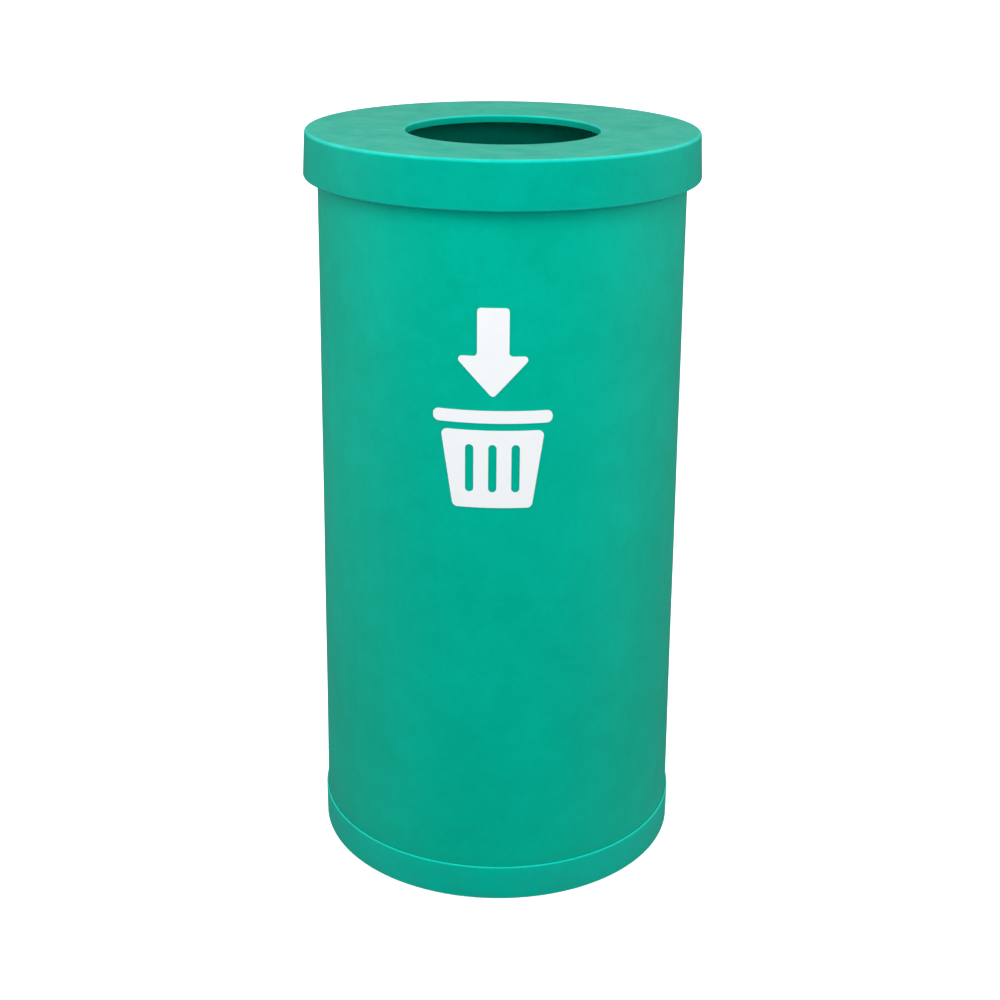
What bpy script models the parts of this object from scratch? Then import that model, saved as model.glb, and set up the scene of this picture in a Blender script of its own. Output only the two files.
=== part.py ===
"""Round litter bin: tapered drum on a moulded base, lift-off lid with a round aperture, steel liner.

Metres, +Z up. The origin is at the middle of the underside, and the front, with the pictogram, faces -Y.
The lid's lock is at the back. Each object is one physical piece. Turned pieces are (radius, height)
profiles that run down their outer side.
"""

from math import cos, radians, sin

import bmesh
import bpy
from mathutils import Matrix

# Overall size and finish
HEIGHT = 0.875
GAP = 0.0003
AROUND = 48
MERGE = 0.00001

# Lid, with a skirt that flares downwards
LID_RADIUS = 0.2256
LID_RADIUS_AT_TOP = 0.2226
LID_HEIGHT = 0.0525
LID_WALL = 0.0060
LID_TOP = 0.0075
LID_EDGE = 0.0035
LID_HEM = 0.0028
APERTURE_RADIUS = 0.1101
LIP_DEPTH = 0.0086
LIP_EDGE = 0.0022
LIP_HEM = 0.0008
DISH_RADIUS = 0.2000
DISH_DEPTH = 0.0022

# Drum
DRUM_RADIUS_UNDER_LID = 0.2096
DRUM_RADIUS_AT_BASE = 0.2186
DRUM_WALL = 0.0060
RIM_THICKNESS = 0.0100
RIM_EDGE = 0.0025
SPIGOT_STEP = 0.0040
FOOT_THICKNESS = 0.0100
FOOT_WIDTH = 0.0220

# Base
BASE_RADIUS = 0.2209
BASE_HEIGHT = 0.0442
BASE_FLOOR = 0.0060
BASE_EDGE = 0.0017
LEDGE_DROP = 0.0030
BASE_FOOT_EDGE = 0.0030
RIB_COUNT = 6
RIB_SIZE = (0.340, 0.006, 0.008)
ANCHOR_COUNT = 4
ANCHOR_CIRCLE = 0.1300
ANCHOR_START = 22.5
ANCHOR_HOLE = 0.0070

# Screws and threaded inserts between base and drum
SCREW_COUNT = 6
SCREW_CIRCLE = 0.2005
SCREW_START = 30.0
SCREW_SHANK = 0.0030
SCREW_HEAD = 0.0060
SCREW_HEAD_DEPTH = 0.0030
SCREW_SOCKET = 0.0022
SCREW_SOCKET_DEPTH = 0.0020
SCREW_LENGTH = 0.0130
INSERT_RADIUS = 0.0050
INSERT_LENGTH = 0.0076

# Liner
LINER_RADIUS = 0.1950
SHEET = 0.0012
LINER_TOP = 0.8000
ROLL_RADIUS = 0.0031
ROLL_WRAP = 290.0
BEAD_HEIGHTS = (0.560, 0.280)
BEAD_RADIUS = 0.0060
BEAD_DEPTH = 0.0030
BEAD_REACH = 60.0
BEAD_EASE = 1.6
FLOOR_LIFT = 0.0100
FLOOR_BEND = 0.0030
DRAIN_COUNT = 5
DRAIN_CIRCLE = 0.1100
DRAIN_HOLE = 0.0060

# Drop handles, their saddles and rivets
HANDLE_WIRE = 0.0030
HANDLE_HEIGHT = 0.7600
HANDLE_STANDOFF = 0.0140
HANDLE_HALF_WIDTH = 0.0450
HANDLE_DROP = 0.0480
HANDLE_CORNER = 0.0120
SADDLE_WIDTH = 0.0360
SADDLE_HEIGHT = 0.0460
SADDLE_SHEET = 0.0015
SADDLE_BACK = 0.0016
SADDLE_CLEARANCE = 0.0006
RIVET_OFFSET = 0.0160
RIVET_SHANK = 0.0020
RIVET_HEAD = 0.0040
RIVET_DOME = 0.0018
RIVET_TAIL = 0.0034
RIVET_TAIL_DEPTH = 0.0012

# Lock, on a radial axis through the back of the lid's skirt. Depths are distances from the drum's axis.
LOCK_HEIGHT = 0.8490
BARREL_HEAD_RADIUS = 0.0095
BARREL_HEAD_FRONT = 0.2243
BARREL_HEAD_BACK = 0.2228
BARREL_RADIUS = 0.0070
BARREL_BORE = 0.0053
BARREL_END = 0.2142
NUT_RADIUS = 0.0095
NUT_FRONT = 0.2166
NUT_BACK = 0.2144
PLUG_RADIUS = 0.0050
PLUG_FRONT = 0.2240
PLUG_SPIGOT = 0.0030
PLUG_END = 0.2115
PLUG_BORE = 0.0018
PLUG_BORE_DEPTH = 0.0070
KEY_RADIUS = 0.0034
KEY_DEPTH = 0.0025
CAM_FRONT = 0.2139
CAM_BACK = 0.2115
CAM_PIVOT_RADIUS = 0.0060
CAM_TIP_RADIUS = 0.0040
CAM_REACH = 0.0150
CAM_SCREW_HEAD = 0.0042
CAM_SCREW_HEAD_DEPTH = 0.0014
CAM_SCREW_SHANK = 0.0015
CAM_SCREW_LENGTH = 0.0060
NOTCH_WIDTH = 0.0220
NOTCH_BACK = 0.2095

# Pictogram on the front: a downward arrow over a bin
PICTOGRAM_X = -0.0080
VINYL = 0.0004
ARROW_TOP = 0.720
ARROW_TIP = 0.622
ARROW_SHOULDER = 0.668
ARROW_SHAFT_HALF = 0.017
ARROW_HEAD_HALF = 0.042
GLYPH_RIM_TOP = 0.608
GLYPH_RIM_BOTTOM = 0.594
GLYPH_RIM_HALF = 0.064
GLYPH_BIN_TOP = 0.586
GLYPH_BIN_BOTTOM = 0.498
GLYPH_BIN_HALF_TOP = 0.056
GLYPH_BIN_HALF_BOTTOM = 0.043
GLYPH_SLOT_TOP = 0.570
GLYPH_SLOT_BOTTOM = 0.516
GLYPH_SLOT_SPACING = 0.025
GLYPH_SLOT_HALF = 0.0045
GLYPH_CORNER = 0.006

# Worked out from the above
LID_BOTTOM = HEIGHT - LID_HEIGHT
LID_UNDERSIDE = HEIGHT - LID_TOP
DRUM_TOP = LID_UNDERSIDE - GAP
RIM_RADIUS = LID_RADIUS_AT_TOP - LID_WALL - GAP
RIM_BOTTOM = DRUM_TOP - RIM_THICKNESS
LEDGE = BASE_HEIGHT - LEDGE_DROP
SHOULDER = LEDGE + GAP
SPIGOT_RADIUS = DRUM_RADIUS_AT_BASE - SPIGOT_STEP
SPIGOT_INNER = SPIGOT_RADIUS - DRUM_WALL
FOOT_BOTTOM = BASE_FLOOR + GAP
FOOT_TOP = FOOT_BOTTOM + FOOT_THICKNESS
BASE_INNER = SPIGOT_RADIUS + GAP
BASE_RECESS = DRUM_RADIUS_AT_BASE + GAP
LINER_INNER = LINER_RADIUS - SHEET
LINER_BOTTOM = FOOT_TOP + GAP
FLOOR_Z = LINER_BOTTOM + FLOOR_LIFT
HANDLE_X = LINER_INNER - HANDLE_STANDOFF
SADDLE_FRONT = SADDLE_BACK + SADDLE_SHEET


def drum_radius(z):
    """Outer radius of the drum's straight, drafted wall at height z."""
    slope = (DRUM_RADIUS_AT_BASE - DRUM_RADIUS_UNDER_LID) / (LID_BOTTOM - BASE_HEIGHT)
    return DRUM_RADIUS_AT_BASE - slope * (z - BASE_HEIGHT)


# Scene, collections and materials


def clear_scene():
    for obj in list(bpy.data.objects):
        bpy.data.objects.remove(obj, do_unlink=True)
    for name in ("litter_bin", "cutters"):
        collection = bpy.data.collections.new(name)
        bpy.context.scene.collection.children.link(collection)
    bpy.data.collections["cutters"].hide_render = True


def make_material(name, colour, roughness, metallic=0.0):
    material = bpy.data.materials.new(name)
    material.use_nodes = True
    shader = material.node_tree.nodes["Principled BSDF"]
    shader.inputs["Base Color"].default_value = (*colour, 1.0)
    shader.inputs["Roughness"].default_value = roughness
    shader.inputs["Metallic"].default_value = metallic


def make_materials():
    make_material("drum_plastic", (0.0, 0.410, 0.300), 0.42)
    make_material("lid_plastic", (0.0, 0.430, 0.320), 0.40)
    make_material("base_plastic", (0.0, 0.380, 0.280), 0.45)
    make_material("white_vinyl", (0.900, 0.930, 0.960), 0.35)
    make_material("galvanised_sheet", (0.520, 0.540, 0.550), 0.38, 1.0)
    make_material("plated_steel", (0.600, 0.600, 0.580), 0.30, 1.0)
    make_material("brass", (0.700, 0.480, 0.180), 0.30, 1.0)
    make_material("lock_metal", (0.620, 0.620, 0.630), 0.22, 1.0)


def place(obj, material):
    """Puts an object among the parts with its material, or among the cutters when it has none."""
    if material:
        bpy.data.collections["litter_bin"].objects.link(obj)
        obj.data.materials.append(bpy.data.materials[material])
    else:
        bpy.data.collections["cutters"].objects.link(obj)
        obj.hide_render = True
        obj.display_type = "WIRE"
    return obj


# Shape tools


def arc(centre, radius, start, end, steps):
    """Points of an arc about centre, with angles in degrees from the first axis towards the second."""
    angles = [radians(start + (end - start) * i / steps) for i in range(steps + 1)]
    return [(centre[0] + radius * cos(a), centre[1] + radius * sin(a)) for a in angles]


def turned(name, profile, material=None, closed=True, around=AROUND):
    """Turns a (radius, height) profile about Z. An open profile starts and ends on the axis."""
    edges = [(i, i + 1) for i in range(len(profile) - 1)]
    if closed:
        edges.append((len(profile) - 1, 0))
    mesh = bpy.data.meshes.new(name)
    mesh.from_pydata([(r, 0.0, z) for r, z in profile], edges, [])
    obj = place(bpy.data.objects.new(name, mesh), material)
    screw = obj.modifiers.new("turn", "SCREW")
    screw.steps = around
    screw.render_steps = around
    screw.use_merge_vertices = True
    screw.merge_threshold = MERGE
    screw.use_smooth_shade = True
    return obj


def extruded(name, outlines, thickness, material=None):
    """Extrudes flat closed outlines about the XY plane and returns a mesh object. Inner outlines are holes."""
    curve = bpy.data.curves.new(name, "CURVE")
    curve.dimensions = "2D"
    curve.fill_mode = "BOTH"
    curve.extrude = thickness / 2
    for outline in outlines:
        spline = curve.splines.new("POLY")
        spline.points.add(len(outline) - 1)
        spline.use_cyclic_u = True
        for point, (x, y) in zip(spline.points, outline):
            point.co = (x, y, 0.0, 1.0)
    guide = bpy.data.objects.new(name + "_outline", curve)
    bpy.context.scene.collection.objects.link(guide)
    graph = bpy.context.evaluated_depsgraph_get()
    mesh = bpy.data.meshes.new_from_object(guide.evaluated_get(graph))
    bpy.data.objects.remove(guide)
    mesh.name = name
    weld(mesh)
    return place(bpy.data.objects.new(name, mesh), material)


def weld(mesh):
    """Joins caps to sides and turns every face outwards."""
    shape = bmesh.new()
    shape.from_mesh(mesh)
    bmesh.ops.remove_doubles(shape, verts=shape.verts, dist=MERGE)
    bmesh.ops.recalc_face_normals(shape, faces=shape.faces)
    shape.to_mesh(mesh)
    shape.free()


def cylinders(name, centres, radius, low, high, segments=16):
    """One cutter of upright cylinders at the (x, y) centres."""
    shape = bmesh.new()
    for x, y in centres:
        bmesh.ops.create_cone(
            shape,
            cap_ends=True,
            segments=segments,
            radius1=radius,
            radius2=radius,
            depth=high - low,
            matrix=Matrix.Translation((x, y, (low + high) / 2)),
        )
    mesh = bpy.data.meshes.new(name)
    shape.to_mesh(mesh)
    shape.free()
    return place(bpy.data.objects.new(name, mesh), None)


def box(name, centre, size):
    """One cutter or tool block, centred, with the given side lengths."""
    shape = bmesh.new()
    scale = Matrix.Diagonal((*size, 1.0))
    bmesh.ops.create_cube(shape, size=1.0, matrix=Matrix.Translation(centre) @ scale)
    mesh = bpy.data.meshes.new(name)
    shape.to_mesh(mesh)
    shape.free()
    return place(bpy.data.objects.new(name, mesh), None)


def combine(obj, tool, operation="DIFFERENCE"):
    modifier = obj.modifiers.new(tool.name, "BOOLEAN")
    modifier.operation = operation
    modifier.object = tool


def on_circle(count, radius, start=0.0):
    """Evenly spaced (x, y) points on a circle about the axis."""
    return arc((0.0, 0.0), radius, start, start + 360.0, count)[:-1]


# Drum and base


def make_drum():
    """Wall with a thick rim under the lid, a shoulder and spigot in the base, and an inward foot flange."""
    wall_top = drum_radius(RIM_BOTTOM)
    profile = [(drum_radius(DRUM_TOP) - DRUM_WALL, DRUM_TOP)]
    profile += arc((RIM_RADIUS - RIM_EDGE, DRUM_TOP - RIM_EDGE), RIM_EDGE, 90, 0, 3)
    profile += arc((RIM_RADIUS - RIM_EDGE, RIM_BOTTOM + RIM_EDGE), RIM_EDGE, 0, -90, 3)
    profile += [
        (wall_top, RIM_BOTTOM),
        (DRUM_RADIUS_AT_BASE, SHOULDER),
        (SPIGOT_RADIUS, SHOULDER),
        (SPIGOT_RADIUS, FOOT_BOTTOM),
        (SPIGOT_INNER - FOOT_WIDTH, FOOT_BOTTOM),
        (SPIGOT_INNER - FOOT_WIDTH, FOOT_TOP),
        (SPIGOT_INNER, FOOT_TOP),
        (SPIGOT_INNER, SHOULDER - SPIGOT_STEP),
        (DRUM_RADIUS_AT_BASE - DRUM_WALL, SHOULDER + SPIGOT_STEP),
    ]
    drum = turned("body_shell", profile, "drum_plastic")
    notch_depth = LID_RADIUS - NOTCH_BACK
    notch_centre = (0.0, NOTCH_BACK + notch_depth / 2, DRUM_TOP - RIM_THICKNESS / 2)
    notch_size = (NOTCH_WIDTH, notch_depth, 2 * RIM_THICKNESS)
    combine(drum, box("rim_notch", notch_centre, notch_size))
    pocket_top = FOOT_BOTTOM + INSERT_LENGTH + 2 * GAP
    pockets = cylinders(
        "insert_pockets", on_circle(SCREW_COUNT, SCREW_CIRCLE, SCREW_START), INSERT_RADIUS + GAP, 0.0, pocket_top
    )
    combine(drum, pockets)


def make_base():
    """Shallow pan with crossed ribs; its ring is rebated for the drum's shoulder."""
    profile = [(0.0, BASE_FLOOR), (BASE_INNER, BASE_FLOOR), (BASE_INNER, LEDGE)]
    profile += [(BASE_RECESS, LEDGE), (BASE_RECESS, BASE_HEIGHT)]
    profile += arc((BASE_RADIUS - BASE_EDGE, BASE_HEIGHT - BASE_EDGE), BASE_EDGE, 90, 0, 3)
    profile += arc((BASE_RADIUS - BASE_FOOT_EDGE, BASE_FOOT_EDGE), BASE_FOOT_EDGE, 0, -90, 3)
    profile += [(0.0, 0.0)]
    base = turned("base_pan", profile, "base_plastic", closed=False)
    rib_lift = BASE_FLOOR - GAP + RIB_SIZE[2] / 2
    for i in range(RIB_COUNT // 2):
        rib = box(f"rib_{i + 1}", (0.0, 0.0, rib_lift), RIB_SIZE)
        rib.rotation_euler[2] = radians(360.0 / RIB_COUNT * i)
        combine(base, rib, "UNION")
    holes = on_circle(ANCHOR_COUNT, ANCHOR_CIRCLE, ANCHOR_START)
    combine(base, cylinders("anchor_holes", holes, ANCHOR_HOLE, -BASE_FLOOR, 2 * BASE_FLOOR))
    for i, (x, y) in enumerate(on_circle(SCREW_COUNT, SCREW_CIRCLE, SCREW_START)):
        shank = SCREW_SHANK + GAP
        sink = SCREW_HEAD_DEPTH + GAP
        flare = 2 * SCREW_HEAD - SCREW_SHANK + GAP
        sunk = [(0.0, 2 * BASE_FLOOR), (shank, 2 * BASE_FLOOR), (shank, sink), (flare, -sink), (0.0, -sink)]
        seat = turned(f"screw_seat_{i + 1}", sunk, None, closed=False, around=16)
        seat.location = (x, y, 0.0)
        combine(base, seat)


def make_base_fasteners():
    head_bottom = GAP
    head_top = SCREW_HEAD_DEPTH
    screw = [
        (0.0, SCREW_LENGTH),
        (SCREW_SHANK, SCREW_LENGTH),
        (SCREW_SHANK, head_top),
        (SCREW_HEAD - GAP, head_bottom),
        (SCREW_SOCKET, head_bottom),
        (SCREW_SOCKET, head_bottom + SCREW_SOCKET_DEPTH),
        (0.0, head_bottom + SCREW_SOCKET_DEPTH),
    ]
    bottom = FOOT_BOTTOM + GAP
    top = bottom + INSERT_LENGTH - GAP
    bore = SCREW_SHANK + GAP
    insert = [(bore, top), (INSERT_RADIUS, top), (INSERT_RADIUS, bottom), (bore, bottom)]
    for i, (x, y) in enumerate(on_circle(SCREW_COUNT, SCREW_CIRCLE, SCREW_START)):
        turned(f"base_screw_{i + 1}", screw, "plated_steel", False, 16).location = (x, y, 0.0)
        turned(f"base_insert_{i + 1}", insert, "brass", True, 16).location = (x, y, 0.0)


# Liner


def bead(z, surface):
    """An outward swage in the wall's outer surface, from its upper end to its lower end."""
    centre = surface + BEAD_DEPTH - BEAD_RADIUS
    points = arc((centre, z), BEAD_RADIUS, BEAD_REACH, -BEAD_REACH, 4)
    foot = BEAD_EASE * BEAD_RADIUS * sin(radians(BEAD_REACH))
    return [(surface, z + foot)] + points + [(surface, z - foot)]


def make_liner_wall():
    roll = (LINER_INNER + ROLL_RADIUS, LINER_TOP - ROLL_RADIUS)
    end = 180.0 - ROLL_WRAP
    profile = arc(roll, ROLL_RADIUS, 180.0, end, 8) + arc(roll, ROLL_RADIUS - SHEET, end, 180.0, 8)
    for height in BEAD_HEIGHTS:
        profile += bead(height, LINER_RADIUS)
    profile += [(LINER_RADIUS, LINER_BOTTOM), (LINER_INNER, LINER_BOTTOM)]
    for height in reversed(BEAD_HEIGHTS):
        profile += reversed(bead(height, LINER_INNER))
    return turned("liner_wall", profile, "galvanised_sheet")


def make_liner():
    wall = make_liner_wall()
    wire_radius = ROLL_RADIUS - SHEET - GAP
    wire_centre = (LINER_INNER + ROLL_RADIUS, LINER_TOP - ROLL_RADIUS)
    turned("liner_rim_wire", arc(wire_centre, wire_radius, 360, 0, 8)[:-1], "plated_steel")
    edge = LINER_INNER - GAP
    profile = [(0.0, FLOOR_Z + SHEET)]
    profile += arc((edge - FLOOR_BEND, FLOOR_Z + SHEET - FLOOR_BEND), FLOOR_BEND, 90, 0, 3)
    profile += [(edge, LINER_BOTTOM + GAP), (edge - SHEET, LINER_BOTTOM + GAP)]
    bend = FLOOR_BEND - SHEET
    profile += arc((edge - FLOOR_BEND, FLOOR_Z + SHEET - FLOOR_BEND), bend, 0, 90, 2)
    profile += [(0.0, FLOOR_Z)]
    floor = turned("liner_floor", profile, "galvanised_sheet", closed=False)
    drains = on_circle(DRAIN_COUNT, DRAIN_CIRCLE, 90.0)
    combine(floor, cylinders("drain_holes", drains, DRAIN_HOLE, 0.0, 2 * FLOOR_Z))
    return wall


def rounded_loop(half_width, drop, corner):
    """Rounded rectangle from z = 0 down to -drop, as (y, z) points."""
    across = half_width - corner
    loop = arc((across, -corner), corner, 90, 0, 3)
    loop += arc((across, corner - drop), corner, 0, -90, 4)
    loop += arc((-across, corner - drop), corner, -90, -180, 4)
    loop += arc((-across, -corner), corner, 180, 90, 3)
    return loop


def make_handle(name, side):
    """A closed wire loop that hangs from its top bar, which is the hinge's axis."""
    curve = bpy.data.curves.new(name, "CURVE")
    curve.dimensions = "3D"
    curve.bevel_depth = HANDLE_WIRE
    curve.bevel_resolution = 2
    loop = rounded_loop(HANDLE_HALF_WIDTH, HANDLE_DROP, HANDLE_CORNER)
    spline = curve.splines.new("POLY")
    spline.points.add(len(loop) - 1)
    spline.use_cyclic_u = True
    for point, (y, z) in zip(spline.points, loop):
        point.co = (0.0, y, z, 1.0)
    handle = place(bpy.data.objects.new(name, curve), "plated_steel")
    handle.location = (side * HANDLE_X, 0.0, HANDLE_HEIGHT)


def make_saddle(name, side):
    """A strap bent round the handle's top bar. Its outline is (distance from the wall, height)."""
    outer = HANDLE_WIRE + SADDLE_CLEARANCE + SADDLE_SHEET
    inner = HANDLE_WIRE + SADDLE_CLEARANCE
    half = SADDLE_HEIGHT / 2
    outline = [(SADDLE_FRONT, -half), (SADDLE_FRONT, -outer)]
    outline += arc((HANDLE_STANDOFF, 0.0), outer, -90, 90, 8)
    outline += [(SADDLE_FRONT, outer), (SADDLE_FRONT, half), (SADDLE_BACK, half), (SADDLE_BACK, inner)]
    outline += arc((HANDLE_STANDOFF, 0.0), inner, 90, -90, 8)
    outline += [(SADDLE_BACK, -inner), (SADDLE_BACK, -half)]
    saddle = extruded(name, [outline], SADDLE_WIDTH, "galvanised_sheet")
    saddle.rotation_euler = (radians(90), 0.0, radians(180) if side > 0 else 0.0)
    saddle.location = (side * LINER_INNER, 0.0, HANDLE_HEIGHT)
    return saddle


def make_rivet(name, side, z):
    """A rivet along X: domed head inside the saddle, flat tail outside the liner's wall."""
    head = -SADDLE_FRONT - GAP
    tail = SHEET + GAP
    dome = [(RIVET_HEAD * cos(radians(a)), head - RIVET_DOME * sin(radians(a))) for a in (0, 30, 60, 90)]
    profile = [
        (0.0, tail + RIVET_TAIL_DEPTH),
        (RIVET_TAIL, tail + RIVET_TAIL_DEPTH),
        (RIVET_TAIL, tail),
        (RIVET_SHANK, tail),
        (RIVET_SHANK, head),
    ]
    rivet = turned(name, profile + dome[:-1] + [(0.0, head - RIVET_DOME)], "plated_steel", False, 12)
    rivet.rotation_euler = (0.0, radians(90 * side), 0.0)
    rivet.location = (side * LINER_INNER, 0.0, z)


def make_handles(wall):
    count = 0
    for side, word in ((-1, "left"), (1, "right")):
        make_handle(f"handle_{word}", side)
        saddle = make_saddle(f"handle_saddle_{word}", side)
        for z in (HANDLE_HEIGHT + RIVET_OFFSET, HANDLE_HEIGHT - RIVET_OFFSET):
            count += 1
            make_rivet(f"saddle_rivet_{count}", side, z)
            reach = HANDLE_STANDOFF
            hole = cylinders(f"rivet_hole_{count}", [(0.0, 0.0)], RIVET_SHANK + GAP, -reach, reach, 12)
            hole.rotation_euler = (0.0, radians(90), 0.0)
            hole.location = (side * LINER_RADIUS, 0.0, z)
            combine(wall, hole)
            combine(saddle, hole)


# Lid and lock


def make_lid():
    """Slightly dished top with a lipped aperture, and a skirt drilled at the back for the lock."""
    lip_top = HEIGHT - DISH_DEPTH
    lip_bottom = lip_top - LIP_DEPTH
    skirt_hem = LID_WALL - LID_HEM
    profile = [(APERTURE_RADIUS + LIP_HEM, lip_bottom), (APERTURE_RADIUS, lip_bottom + LIP_HEM)]
    profile += arc((APERTURE_RADIUS + LIP_EDGE, lip_top - LIP_EDGE), LIP_EDGE, 180, 90, 4)
    profile.append((DISH_RADIUS, HEIGHT))
    profile += arc((LID_RADIUS_AT_TOP - LID_EDGE, HEIGHT - LID_EDGE), LID_EDGE, 90, 0, 4)
    profile += arc((LID_RADIUS - LID_HEM, LID_BOTTOM + LID_HEM), LID_HEM, 0, -90, 3)
    profile += [
        (LID_RADIUS - LID_HEM - skirt_hem / 2, LID_BOTTOM),
        (LID_RADIUS - LID_WALL, LID_BOTTOM + skirt_hem / 2),
        (LID_RADIUS_AT_TOP - LID_WALL, LID_UNDERSIDE),
        (DISH_RADIUS, LID_UNDERSIDE),
    ]
    lid = turned("lid_shell", profile, "lid_plastic")
    reach = LID_RADIUS + LID_WALL
    for name, radius, low in (
        ("lock_hole", BARREL_RADIUS + GAP, BARREL_END - LID_WALL),
        ("lock_pocket", BARREL_HEAD_RADIUS + GAP, BARREL_HEAD_BACK - GAP),
    ):
        combine(lid, on_lock_axis(cylinders(name, [(0.0, 0.0)], radius, low, reach, 24)))


def on_lock_axis(obj):
    """Turns an object's own Z onto the lock's axis, which points backwards out of the skirt."""
    obj.rotation_euler = (radians(-90), 0.0, 0.0)
    obj.location = (0.0, 0.0, LOCK_HEIGHT)
    return obj


def make_lock():
    barrel = [
        (BARREL_BORE, BARREL_HEAD_FRONT),
        (BARREL_HEAD_RADIUS - GAP, BARREL_HEAD_FRONT),
        (BARREL_HEAD_RADIUS, BARREL_HEAD_FRONT - GAP),
        (BARREL_HEAD_RADIUS, BARREL_HEAD_BACK),
        (BARREL_RADIUS, BARREL_HEAD_BACK),
        (BARREL_RADIUS, BARREL_END),
        (BARREL_BORE, BARREL_END),
    ]
    on_lock_axis(turned("lock_barrel", barrel, "lock_metal", True, 24))
    bore = BARREL_RADIUS + GAP
    nut = [(bore, NUT_FRONT), (NUT_RADIUS, NUT_FRONT), (NUT_RADIUS, NUT_BACK), (bore, NUT_BACK)]
    on_lock_axis(turned("lock_nut", nut, "lock_metal", True, 24))
    plug = [
        (0.0, PLUG_FRONT),
        (PLUG_RADIUS, PLUG_FRONT),
        (PLUG_RADIUS, CAM_FRONT + GAP),
        (PLUG_SPIGOT, CAM_FRONT + GAP),
        (PLUG_SPIGOT, PLUG_END),
        (PLUG_BORE, PLUG_END),
        (PLUG_BORE, PLUG_END + PLUG_BORE_DEPTH),
        (0.0, PLUG_END + PLUG_BORE_DEPTH),
    ]
    plug = on_lock_axis(turned("lock_plug", plug, "lock_metal", False, 24))
    key_low = PLUG_FRONT - KEY_DEPTH
    key = cylinders("key_recess", [(0.0, 0.0)], KEY_RADIUS, key_low, LID_RADIUS, 3)
    combine(plug, on_lock_axis(key))
    make_cam()
    head = CAM_BACK - GAP
    screw = [
        (0.0, head + CAM_SCREW_LENGTH),
        (CAM_SCREW_SHANK, head + CAM_SCREW_LENGTH),
        (CAM_SCREW_SHANK, head),
        (CAM_SCREW_HEAD, head),
        (CAM_SCREW_HEAD, head - CAM_SCREW_HEAD_DEPTH),
        (0.0, head - CAM_SCREW_HEAD_DEPTH),
    ]
    on_lock_axis(turned("cam_screw", screw, "plated_steel", False, 16))


def make_cam():
    """A tapered tongue that hangs down at rest and reaches under the drum's rim after a quarter turn."""
    outline = arc((0.0, 0.0), CAM_PIVOT_RADIUS, 0, 180, 8)
    outline += arc((0.0, -CAM_REACH), CAM_TIP_RADIUS, 180, 360, 6)
    hole = arc((0.0, 0.0), PLUG_SPIGOT + GAP, 0, 360, 16)[:-1]
    cam = extruded("lock_cam", [outline, hole], CAM_FRONT - CAM_BACK, "lock_metal")
    cam.rotation_euler = (radians(90), 0.0, 0.0)
    cam.location = (0.0, (CAM_FRONT + CAM_BACK) / 2, LOCK_HEIGHT)


# Pictogram


def rounded(corners, radius, steps=3):
    """A polygon with each corner cut by a short curve of about the given size."""
    outline = []
    for i, (x, y) in enumerate(corners):
        ends = []
        for other in (corners[i - 1], corners[(i + 1) % len(corners)]):
            dx = other[0] - x
            dy = other[1] - y
            part = radius / (dx * dx + dy * dy) ** 0.5
            ends.append((x + dx * part, y + dy * part))
        for step in range(steps + 1):
            t = step / steps
            keep = ((1 - t) ** 2, 2 * t * (1 - t), t * t)
            outline.append(
                (
                    keep[0] * ends[0][0] + keep[1] * x + keep[2] * ends[1][0],
                    keep[0] * ends[0][1] + keep[1] * y + keep[2] * ends[1][1],
                )
            )
    return outline


def trapezium(half_top, half_bottom, top, bottom, centre=0.0):
    return [
        (centre - half_top, top),
        (centre - half_bottom, bottom),
        (centre + half_bottom, bottom),
        (centre + half_top, top),
    ]


def vinyl(name, outlines):
    """A thin sheet on the front of the drum, cut to the outlines, which are (x, z) about the pictogram."""
    inner = GAP
    outer = GAP + VINYL
    low = GLYPH_BIN_BOTTOM - GLYPH_BIN_HALF_TOP
    high = ARROW_TOP + GLYPH_BIN_HALF_TOP
    sleeve = [
        (drum_radius(high) + inner, high),
        (drum_radius(high) + outer, high),
        (drum_radius(low) + outer, low),
        (drum_radius(low) + inner, low),
    ]
    stencil = extruded(name + "_stencil", outlines, LINER_RADIUS)
    stencil.rotation_euler = (radians(90), 0.0, 0.0)
    stencil.location = (PICTOGRAM_X, -LINER_RADIUS, 0.0)
    combine(turned(name, sleeve, "white_vinyl"), stencil, "INTERSECT")


def make_pictogram():
    arrow = [
        (-ARROW_SHAFT_HALF, ARROW_TOP),
        (-ARROW_SHAFT_HALF, ARROW_SHOULDER),
        (-ARROW_HEAD_HALF, ARROW_SHOULDER),
        (0.0, ARROW_TIP),
        (ARROW_HEAD_HALF, ARROW_SHOULDER),
        (ARROW_SHAFT_HALF, ARROW_SHOULDER),
        (ARROW_SHAFT_HALF, ARROW_TOP),
    ]
    vinyl("pictogram_arrow", [arrow])
    bar = trapezium(GLYPH_RIM_HALF, GLYPH_RIM_HALF, GLYPH_RIM_TOP, GLYPH_RIM_BOTTOM)
    vinyl("pictogram_bin_rim", [rounded(bar, GLYPH_CORNER)])
    bin_outline = trapezium(GLYPH_BIN_HALF_TOP, GLYPH_BIN_HALF_BOTTOM, GLYPH_BIN_TOP, GLYPH_BIN_BOTTOM)
    outlines = [rounded(bin_outline, GLYPH_CORNER)]
    for i in (-1, 0, 1):
        slot = trapezium(
            GLYPH_SLOT_HALF, GLYPH_SLOT_HALF, GLYPH_SLOT_TOP, GLYPH_SLOT_BOTTOM, i * GLYPH_SLOT_SPACING
        )
        outlines.append(rounded(slot, GLYPH_SLOT_HALF))
    vinyl("pictogram_bin_body", outlines)


def main():
    clear_scene()
    make_materials()
    make_drum()
    make_base()
    make_base_fasteners()
    make_handles(make_liner())
    make_lid()
    make_lock()
    make_pictogram()


main()
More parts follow.
